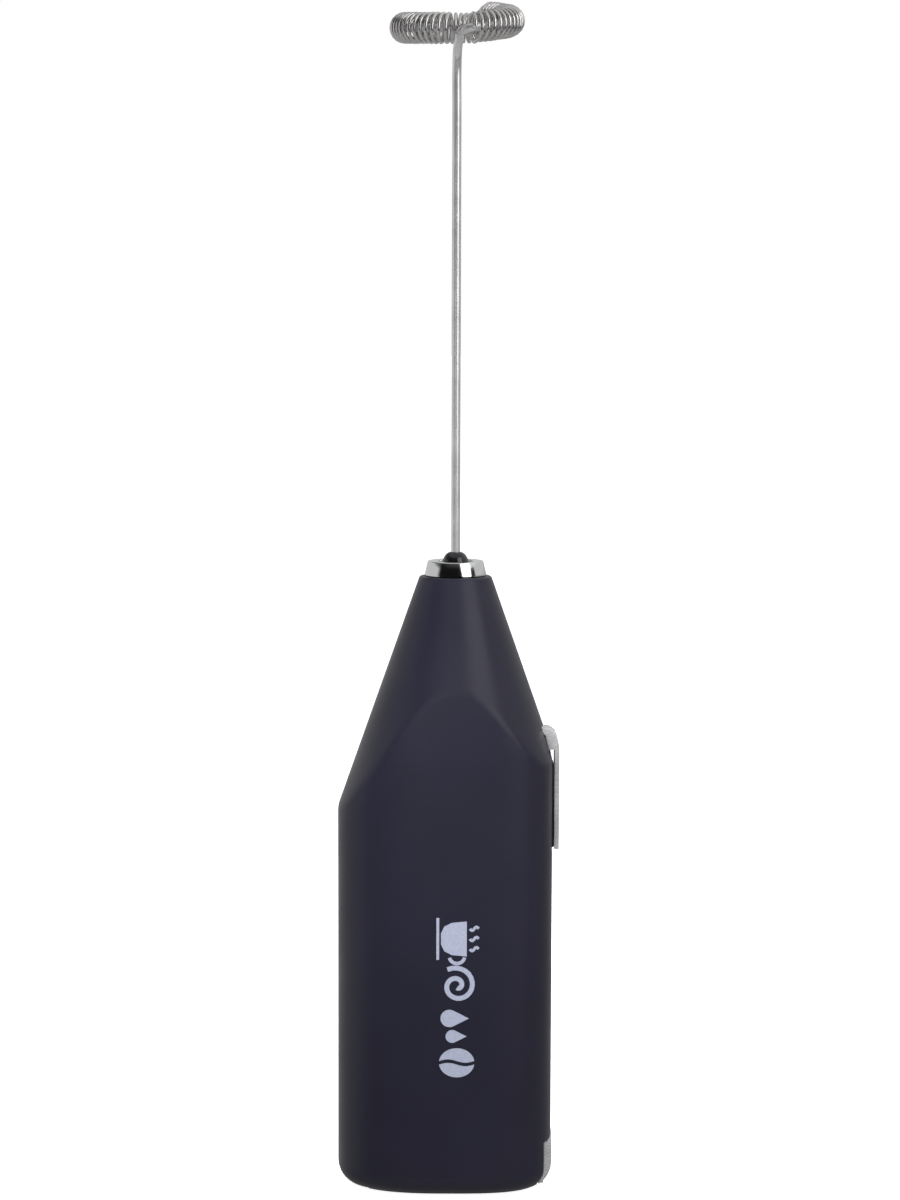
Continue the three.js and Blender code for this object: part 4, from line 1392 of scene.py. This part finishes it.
@dataclass
class BatteryDoor:
    """The hinged door in the base with its bridge contact, and the chrome latch on its free edge."""

    hinge: Point2 = HINGE_AXIS
    pivot: Point2 = LATCH_AXIS
    thickness: float = 1.8
    rim: float = 2.1
    knuckle_half: float = 3.6
    pin_bore: float = 0.7
    pivot_bore: float = 0.6
    clip_half: float = 7.6
    clip_top: float = 8.7
    clip_left: float = 15.1
    tongue_half: float = 3.0
    form: CaseForm = field(default_factory=CaseForm)

    def door(self) -> Mesh:
        """The door plate with its hinge knuckle and grip ribs.

        Returns:
            The closed mesh.
        """
        (x, z), (pivot_x, pivot_z) = self.hinge, self.pivot
        near, far = -40.0, 40.0
        half, over = self.knuckle_half, 20.0
        plate = Bench.carve(Bench.plate(self.form.outline(self.rim, 160), 0.0, self.thickness), "INTERSECT",
                            self.form.blank(0.0, 20.0))
        plate = Bench.soften(plate, 0.12, 2)
        cutters = [Bench.block((near, half, -1), (x + 1.75, over, 4)),
                   Bench.block((near, -over, -1), (x + 1.75, -half, 4)),
                   Bench.block((near, -over, -1), (x, over, 4)), Bench.block((14.6, -7.9, -1), (far, 7.9, 4)),
                   Bench.block((12.5, -3.3, -1), (far, 3.3, 4)),
                   Bench.block((-9.0, -5.6, -1), (7.0, 5.6, 0.35), 0.12)]
        ribs = [Bench.block((-6.5 + 2.4 * i, -4.2, 0.02), (-5.5 + 2.4 * i, 4.2, 0.6), 0.15) for i in range(5)]
        knuckle = Bench.rod((x, -half, z), (x, half, z), 1.3, 48, 0.15)
        door = Bench.fuse(Bench.cut(plate, *cutters), knuckle, *ribs)
        bores = [Bench.rod((x, -over, z), (x, over, z), self.pin_bore, 32),
                 Bench.rod((pivot_x, -5.9, pivot_z), (pivot_x, 5.9, pivot_z), self.pivot_bore, 32)]
        return Bench.cut(door, *bores)

    def latch(self) -> Mesh:
        """The curved chrome clip with its foot under the corner and its pivot tongue.

        Returns:
            The closed mesh.
        """
        (x, z), half, tongue_half = self.pivot, self.clip_half, self.tongue_half
        skin = Bench.cut(self.form.blank(0.2, FAR), Bench.plate(self.form.outline(1.2), 1.5, 40.0))
        skin = Bench.carve(skin, "INTERSECT",
                           Bench.block((self.clip_left, -half, -1.0), (FAR, half, self.clip_top)))
        skin = Bench.soften(skin, 0.16, 3, math.radians(40))
        barrel = Bench.rod((x, -tongue_half, z), (x, tongue_half, z), 0.85, 40, 0.1)
        tongue = Bench.block((x, -tongue_half, 0.1), (16.0, tongue_half, 1.3))
        latch = Bench.fuse(skin, tongue, barrel)
        return Bench.cut(latch, Bench.rod((x, -9, z), (x, 9, z), self.pivot_bore, 32))

    def build(self) -> None:
        """Makes the door, its contacts, both pins and the latch."""
        Bench.piece("base_door", self.door(), SOFT_TOUCH, Body.DOOR, ["battery_door"], "soft_touch")
        (x, z), (pivot_x, pivot_z) = self.hinge, self.pivot
        Bench.piece("hinge_pin", Bench.rod((x, -6.2, z), (x, 6.2, z), 0.6, 32, 0.1), NICKEL, Body.CASE,
                    ["door_hinge_pin"], "steel")
        strap = Bench.block((-13, -3.5, 2.1), (9.6, 3.5, 2.5), 0.12)
        dimple = Bench.rod((5.9, 0, 2.0), (5.9, 0, 2.7), 1.6, 40, 0.15)
        bridge = Bench.fuse(strap, Bench.cut(dimple, Bench.block((0, -5, 1.0), (12, 5, 2.3))))
        Bench.piece("bridge_plate", bridge, NICKEL, Body.DOOR, ["bridge_contact"], "steel")
        spring = BatteryPack.spring(-9.3, 2.8, 5.3, 2.6, 3.0, 2.2)
        Bench.piece("bridge_coil", spring, NICKEL, Body.DOOR, ["bridge_spring"], "steel")
        Bench.piece("latch_clip", self.latch(), LEVER_STEEL, Body.LATCH, ["door_latch"], "chrome")
        pin = Bench.rod((pivot_x, -5.6, pivot_z), (pivot_x, 5.6, pivot_z), 0.5, 32, 0.08)
        Bench.piece("latch_pivot", pin, NICKEL, Body.DOOR, ["latch_pin"], "steel")


# ---------------------------------------------------------------- lever switch


@dataclass
class LeverSwitch:
    """The chrome lever strip with its pad and pin, and the two contact strips that it closes."""

    axis: Point2 = LEVER_AXIS
    centre_x: float = 18.0
    low: float = 60.6
    straight: float = 77.6
    crown: float = 81.44
    half_thick: float = 0.41
    half_wide: float = 3.2

    def strip_outline(self) -> list[Point2]:
        """The strip's side outline: a straight leg that curls over the top.

        Returns:
            The closed outline in X and Z.
        """
        start, bend, end = (Vector((self.centre_x, self.straight)), Vector((self.centre_x, self.crown - 0.5)),
                            Vector((16.5, self.crown)))
        centre = [Vector((self.centre_x, self.low)), Vector((self.centre_x, self.low + 8.0))]
        for i in range(19):
            t = i / 18
            centre.append(start * (1 - t) ** 2 + bend * 2 * t * (1 - t) + end * t**2)
        centre.append(Vector((self.axis[0] - 0.6, self.crown)))

        def beside(side: int) -> list[Point2]:
            """The outline's points on one side of the centre line."""
            points = []
            for i, point in enumerate(centre):
                along = (centre[min(i + 1, len(centre) - 1)] - centre[max(i - 1, 0)]).normalized()
                aside = side * self.half_thick
                points.append((point.x - aside * along.y, point.y + aside * along.x))
            return points

        return beside(1) + beside(-1)[::-1]

    def lever(self) -> Mesh:
        """The lever with its heel, web and eye.

        Returns:
            The closed mesh.
        """
        x, z = self.axis
        wide = self.half_wide
        strip = Bench.soften(Bench.profile(self.strip_outline(), wide), 0.14, 3, math.radians(40))
        heel = Bench.soften(Bench.profile([(15.8, 81.2), (17.75, 81.2), (17.75, 78.3), (16.55, 78.3)], wide - 0.01),
                            0.1, 2)
        web = Bench.block((x - 0.6, -wide, z), (x + 0.6, wide, self.crown + 0.2), 0.1)
        eye = Bench.rod((x, -wide, z), (x, wide, z), 1.3, 48, 0.12)
        lever = Bench.fuse(strip, heel, web, eye)
        return Bench.cut(lever, Bench.rod((x, -9, z), (x, 9, z), 0.85, 32))

    def pad(self) -> Mesh:
        """The pad behind the lever with its nose.

        Returns:
            The closed mesh.
        """
        pad = Bench.block((16.1, -3.2, 60.9), (17.5, 3.2, 75.6), 0.2, 3)
        nose = Bench.rod((14.4, 0, 70), (16.6, 0, 70), 0.9, 40, 0.3)
        return Bench.fuse(pad, nose)

    @staticmethod
    def strip(x: float, half: float, low: float, high: float, point: tuple[float, float]) -> Mesh:
        """A contact strip with its rivet.

        Args:
            x: Its middle plane.
            half: Half its width.
            low: Its lower end.
            high: Its upper end.
            point: X of the rivet's two faces.

        Returns:
            The closed mesh.
        """
        band = Bench.block((x - 0.15, -half, low), (x + 0.15, half, high), 0.06)
        return Bench.fuse(band, Bench.rod((point[0], 0, 71.5), (point[1], 0, 71.5), 1.0, 40, 0.12))

    def build(self) -> None:
        """Makes the lever, the pad, the pin and the contacts."""
        x, z = self.axis
        Bench.piece("lever_strip", self.lever(), LEVER_STEEL, Body.LEVER, ["switch_lever"], "chrome")
        Bench.piece("lever_cushion", self.pad(), PAD_BLACK, Body.LEVER, ["lever_pad"], "inner_plastic")
        Bench.piece("lever_pivot", Bench.rod((x, -6.8, z), (x, 6.8, z), 0.75, 32, 0.1), NICKEL, Body.CASE,
                    ["lever_pin"], "steel")
        base = Bench.block((11.3, -4.2, 59.4), (14.9, 4.2, 63.0), 0.25)
        slots = [Bench.block((11.75, -1.9, 59.7), (12.65, 1.9, 64)),
                 Bench.block((13.55, -2.1, 59.7), (14.45, 2.1, 64))]
        Bench.piece("contact_holder", Bench.cut(base, *slots), NYLON, Body.CASE, ["switch_base"], "nylon")
        Bench.piece("fixed_contact", self.strip(12.2, 1.6, 59.9, 72.6, (12.2, 12.8)), BRONZE, Body.CASE,
                    ["switch_contact"], "brass")
        Bench.piece("moving_leaf", self.strip(14.0, 1.8, 60.2, 73.6, (13.55, 14.0)), BRONZE, Body.LEAF,
                    ["switch_leaf"], "brass")


# ---------------------------------------------------------------- leads


@dataclass(frozen=True)
class Lead:
    """One insulated wire inside the case."""

    name: str
    node: str
    finish: Finish
    slot: str
    path: tuple[Point3, ...]
    radius: float = 0.52

    def build(self) -> None:
        """Makes the wire."""
        Bench.piece(self.name, Bench.wire(self.path, self.radius, True, 4), self.finish, Body.CASE, [self.node],
                    self.slot, math.radians(50))


LEADS = (
    Lead("black_lead", "negative_lead", BLACK_SLEEVE, "wire_black",
         ((6.8, 0, 60), (8.4, 2, 61), (8.2, 3, 62.4), (6.9, 0.6, 63.2))),
    Lead("red_lead", "positive_lead", RED_SLEEVE, "wire_red",
         ((-9.3, -1.6, 60.1), (-7.5, -5, 61.2), (-1, -7.2, 61.6), (6, -6.6, 61.6), (9.4, -3.4, 61.2),
          (10.6, -1, 61))),
    Lead("blue_lead", "motor_lead", BLUE_SLEEVE, "wire_blue",
         ((10.4, 3.4, 61), (8.5, 6.6, 61.5), (2, 7.4, 61.7), (-5, 6.4, 61.9), (-7.2, 2.6, 62.6),
          (-6.95, 0.6, 63.2))),
)


# ---------------------------------------------------------------- printed mark


@dataclass
class PrintedMark:
    """A generic row of coffee symbols printed down the front face, read from above to below.

    The symbols are drawn in a strip of their own: u runs down the case from the row's top end, v to the right.
    """

    top: float = 50.2
    left: float = -3.05
    width: float = 7.3
    lift: float = 0.012
    thick: float = 0.03
    slice_width: float = 0.6
    drawn: float = 7.3  # width of the strip that the symbols are drawn in
    margin: float = 0.4
    form: CaseForm = field(default_factory=CaseForm)

    @staticmethod
    def stroke(line: Sequence[Point2], width: float) -> Mesh:
        """A flat ribbon along a line.

        Args:
            line: Its centre points in u and v.
            width: Its width.

        Returns:
            The open mesh.
        """
        points = [Vector(p) for p in line]
        closed = (points[0] - points[-1]).length < 1e-6
        count = len(points) - 1 if closed else len(points)
        bm = bmesh.new()
        pairs = []
        for i in range(count):
            before = points[(i - 1) % count] if closed or i else points[0]
            after = points[(i + 1) % count] if closed or i < count - 1 else points[-1]
            along = (after - before).normalized()
            aside = Vector((-along.y, along.x)) * width / 2
            pairs.append([bm.verts.new((*(points[i] + aside * s), 0.0)) for s in (-1, 1)])
        links = [bm.edges.new(pair) for pair in pairs]
        for i in range(count if closed else count - 1):
            bmesh.ops.bridge_loops(bm, edges=[links[i], links[(i + 1) % count]])
        return bm

    @staticmethod
    def patch(outline: Sequence[Point2]) -> Mesh:
        """A filled flat shape."""
        bm = bmesh.new()
        bm.faces.new([bm.verts.new((u, v, 0.0)) for u, v in outline])
        return bm

    def symbols(self) -> list[Mesh]:
        """Draws the cup with its steam, a swirl of milk, two drops and a coffee bean.

        Returns:
            The flat meshes in u and v, with v up from the row's baseline.
        """
        cup = [(0.2, 5.2), (0.45, 2.6), (1.1, 1.3), (2.3, 0.7), (4.3, 0.7), (5.5, 1.3), (6.15, 2.6), (6.4, 5.2)]
        shapes = [self.patch(cup), self.stroke([(-0.4, 0.15), (7.0, 0.15)], 0.5)]
        handle = arc((6.3, 3.5), 1.35, -75, 78, 14)
        shapes.append(self.stroke(handle, 0.62))
        for i in range(3):
            base = 1.5 + 1.8 * i
            line = [(base + 0.32 * math.sin(2 * math.pi * t / 12), 5.75 + 1.5 * t / 12) for t in range(13)]
            shapes.append(self.stroke(line, 0.5))
        spiral = [(11.6 + (0.35 + 0.0052 * a) * math.cos(math.radians(a)),
                   3.5 + (0.35 + 0.0052 * a) * math.sin(math.radians(a))) for a in range(0, 571, 15)]
        shapes.append(self.stroke(spiral, 0.85))
        for i, (centre, size) in enumerate(((17.4, 1.55), (20.6, 1.15))):
            drop = arc((centre, 2.2 + 0.5 * i), size, 150, 390, 22) + [(centre, 2.2 + 0.5 * i + size * 2.2)]
            shapes.append(self.patch(drop))
        for side in (-1, 1):
            half = [(25.3 + side * 2.6 * math.cos(a), 3.5 + 3.1 * math.sin(a))
                    for a in (math.radians(t) for t in range(-80, 81, 8))]
            split = [(25.3 + side * 0.32 + 0.3 * math.sin(math.pi * t / 6), 3.5 + 3.05 * (1 - t / 6))
                     for t in range(13)]
            shapes.append(self.patch(half + split))
        return shapes

    def build(self) -> None:
        """Lays the symbols on the front face as thin ink."""
        flat = Bench.gather(*self.symbols())
        for i in range(1, int(8.0 / self.slice_width)):
            bmesh.ops.bisect_plane(flat, geom=flat.verts[:] + flat.edges[:] + flat.faces[:],
                                   plane_co=(0, self.slice_width * i, 0), plane_no=(0, 1, 0), dist=1e-5)
        for vert in flat.verts:
            u, v = vert.co.x, vert.co.y
            x = self.left + v * self.width / self.drawn
            vert.co = (x, self.form.front_y(x) - self.lift - self.thick, self.top - self.margin - u)
        bmesh.ops.recalc_face_normals(flat, faces=flat.faces)
        for face in flat.faces:
            if face.normal.y > 0:
                face.normal_flip()
        bmesh.ops.solidify(flat, geom=flat.faces[:], thickness=self.thick)
        Bench.piece("printed_mark", Bench.tidy(flat), INK, Body.CASE, [], "nylon")


# ---------------------------------------------------------------- studio


@dataclass
class Softbox:
    """A rectangular studio light aimed at the frother."""

    name: str
    azimuth: float
    elevation: float
    distance: float
    size: Point2
    power: float
    aim: float = 0.1
    hidden: bool = False

    def build(self) -> None:
        """Hangs the light."""
        light = bpy.data.lights.new(self.name, "AREA")
        light.shape = "RECTANGLE"
        light.size, light.size_y = self.size
        light.energy = self.power
        holder = bpy.data.objects.new(self.name, light)
        around, up = math.radians(self.azimuth), math.radians(self.elevation)
        away = Vector((math.sin(around) * math.cos(up), -math.cos(around) * math.cos(up), math.sin(up)))
        holder.location = away * self.distance + Vector((0, 0, self.aim))
        holder.rotation_euler = away.to_track_quat("Z", "Y").to_euler()
        holder.visible_glossy = not self.hidden
        holder.visible_camera = False
        bpy.context.scene.collection.objects.link(holder)


DARK = 0.008  # level of the unlit part of the room


@dataclass(frozen=True)
class Band:
    """How bright the room's walls are at one height."""

    rise: float  # sine of the elevation
    walls: tuple[Point2, ...]  # azimuths from the camera's side towards the lever, and levels


@dataclass
class Studio:
    """The pale floor, the bright surroundings, the softboxes and the camera."""

    camera_x: float = -0.95
    camera_distance: float = 545.8
    camera_height: float = 160.8
    pitch: float = 5.893
    roll: float = 0.17
    focal: float = 3112.5 / 1200
    bands: tuple[Band, ...] = (
        Band(-0.5, ((0.0, 0.4),)),
        Band(-0.3, ((-180.0, 0.7), (-74.0, 0.66), (-60.0, DARK), (66.0, DARK), (80.0, 0.22), (180.0, 0.5))),
        Band(-0.05, ((-180.0, 0.76), (-74.0, 0.73), (-60.0, DARK), (66.0, DARK), (80.0, 0.26), (180.0, 0.55))),
        Band(0.15, ((-180.0, 0.72), (-76.0, 0.7), (-63.0, DARK), (62.0, DARK), (79.0, 0.03), (84.0, 0.7),
                    (180.0, 0.72))),
        Band(0.38, ((-180.0, 0.72), (-76.0, 0.7), (-63.0, DARK), (62.0, DARK), (79.0, 0.03), (84.0, 0.7),
                    (180.0, 0.72))),
        Band(0.48, ((-180.0, 0.4), (-80.0, 0.16), (-63.0, DARK), (50.0, DARK), (60.0, 0.9), (140.0, 0.8),
                    (180.0, 0.4))),
        Band(0.7, ((-180.0, 0.4), (-80.0, 0.16), (-63.0, 0.05), (50.0, 0.1), (60.0, 0.9), (140.0, 0.8),
                   (180.0, 0.4))),
        Band(0.86, ((0.0, 0.7),)),
    )
    boxes: tuple[Softbox, ...] = (
        Softbox("key_softbox", azimuth=44.0, elevation=23.0, distance=1.3, size=(0.84, 1.25), power=6.2),
        Softbox("front_fill", azimuth=-10.0, elevation=9.5, distance=0.152, size=(0.12, 0.12), power=0.25,
                hidden=True),
        Softbox("back_fill", azimuth=160.0, elevation=20.0, distance=0.3, size=(0.2, 0.2), power=0.9,
                hidden=True),
    )

    def floor(self) -> None:
        """Lays the pale floor."""
        bm = bmesh.new()
        bmesh.ops.create_grid(bm, x_segments=1, y_segments=1, size=6.0)
        mesh = bpy.data.meshes.new("floor")
        bm.to_mesh(mesh)
        bm.free()
        recipe = Recipe("pale_floor")
        recipe.drive("Base Color", recipe.shades(recipe.noise(400.0, 2.0), [
            (0.3, (0.93, 0.93, 0.93)), (0.7, (0.95, 0.95, 0.95))]))
        recipe.fixed(roughness=0.9, specular_ior_level=0.1)
        recipe.fixed(emission_color=(1.0, 1.0, 1.0, 1.0), emission_strength=0.9)
        mesh.materials.append(recipe.material)
        floor = bpy.data.objects.new("floor", mesh)
        floor.location.z = -0.0002
        bpy.context.scene.collection.objects.link(floor)
        floor.visible_glossy = False
        floor.visible_diffuse = False

    def surroundings(self) -> None:
        """Fills the room with soft light that depends on its direction."""
        world = bpy.data.worlds.new("studio")
        bpy.context.scene.world = world
        world.use_nodes = True
        tree = world.node_tree
        tree.nodes.clear()

        def math_node(operation: str, *inputs: Socket | float) -> Socket:
            """A Math node with its inputs linked or set."""
            node = tree.nodes.new("ShaderNodeMath")
            node.operation = operation
            for socket, value in zip(node.inputs, inputs):
                if isinstance(value, (int, float)):
                    socket.default_value = value
                else:
                    tree.links.new(value, socket)
            return node.outputs[0]

        def blend(factor: Socket, first: Socket, second: Socket) -> Socket:
            """Fades from one value to another."""
            return math_node("ADD", math_node("MULTIPLY", first, math_node("SUBTRACT", 1.0, factor)),
                             math_node("MULTIPLY", factor, second))

        def rise(value: Socket, start: float, end: float) -> Socket:
            """Goes smoothly from 0 to 1 between two values."""
            node = tree.nodes.new("ShaderNodeMapRange")
            node.interpolation_type = "SMOOTHSTEP"
            node.inputs["From Min"].default_value = start
            node.inputs["From Max"].default_value = end
            tree.links.new(value, node.inputs["Value"])
            return node.outputs["Result"]

        split = tree.nodes.new("ShaderNodeSeparateXYZ")
        tree.links.new(tree.nodes.new("ShaderNodeTexCoord").outputs["Generated"], split.inputs[0])
        around = math_node("ARCTAN2", split.outputs["X"], math_node("MULTIPLY", split.outputs["Y"], -1.0))
        place = math_node("MULTIPLY_ADD", around, 0.5 / math.pi, 0.5)

        def level(band: Band) -> Socket:
            """A band's brightness at the azimuth."""
            ramp = tree.nodes.new("ShaderNodeValToRGB")
            tree.links.new(place, ramp.inputs["Fac"])
            stops = ramp.color_ramp.elements
            while len(stops) < len(band.walls):
                stops.new(0.5)
            while len(stops) > len(band.walls):
                stops.remove(stops[-1])
            for stop, (azimuth, bright) in zip(stops, band.walls):
                stop.position = azimuth / 360 + 0.5
                stop.color = (bright, bright, bright, 1.0)
            return ramp.outputs["Color"]

        lit = level(self.bands[0])
        for lower, upper in zip(self.bands, self.bands[1:]):
            lit = blend(rise(split.outputs["Z"], lower.rise, upper.rise), lit, level(upper))
        shine = tree.nodes.new("ShaderNodeBackground")
        tree.links.new(lit, shine.inputs["Strength"])
        seen = tree.nodes.new("ShaderNodeBackground")
        seen.inputs["Color"].default_value = (1.0, 1.0, 1.0, 1.0)
        choose = tree.nodes.new("ShaderNodeMixShader")
        tree.links.new(tree.nodes.new("ShaderNodeLightPath").outputs["Is Camera Ray"], choose.inputs[0])
        tree.links.new(shine.outputs[0], choose.inputs[1])
        tree.links.new(seen.outputs[0], choose.inputs[2])
        tree.links.new(choose.outputs[0], tree.nodes.new("ShaderNodeOutputWorld").inputs[0])

    def camera(self) -> None:
        """Sets up the camera."""
        data = bpy.data.cameras.new("camera")
        data.sensor_fit = "VERTICAL"
        data.sensor_height = 36.0
        data.lens = 36.0 * self.focal
        data.clip_start, data.clip_end = 0.01, 50.0
        camera = bpy.data.objects.new("camera", data)
        place = Vector((self.camera_x, -self.camera_distance, self.camera_height)) * METRES
        tip = Matrix.Rotation(math.radians(90 - self.pitch), 4, "X")
        lean = Matrix.Rotation(math.radians(self.roll), 4, "Z")
        camera.matrix_world = Matrix.Translation(place) @ (tip @ lean)
        bpy.context.scene.collection.objects.link(camera)
        bpy.context.scene.camera = camera

    def build(self) -> None:
        """Makes the whole studio."""
        self.floor()
        self.surroundings()
        self.camera()
        for box in self.boxes:
            box.build()
        view = bpy.context.scene.view_settings
        view.view_transform = "Standard"
        view.look = "None"


def main() -> None:
    """Builds the frother's looks and its studio."""
    logging.basicConfig(level=logging.INFO, format="%(name)s %(message)s")
    makers: tuple[tuple[str, Callable[[], None]], ...] = (
        ("studio", Studio().build),
        ("case shells", CaseShells().build),
        ("neck", Neck().build),
        ("whisk", Whisk().build),
        ("motor", Motor().build),
        ("battery pack", BatteryPack().build),
        ("battery door", BatteryDoor().build),
        ("lever switch", LeverSwitch().build),
        ("printed mark", PrintedMark().build),
        *((lead.name, lead.build) for lead in LEADS),
    )
    for name, build in makers:
        LOG.info("building the %s", name)
        build()


if __name__ == "__main__":
    main()
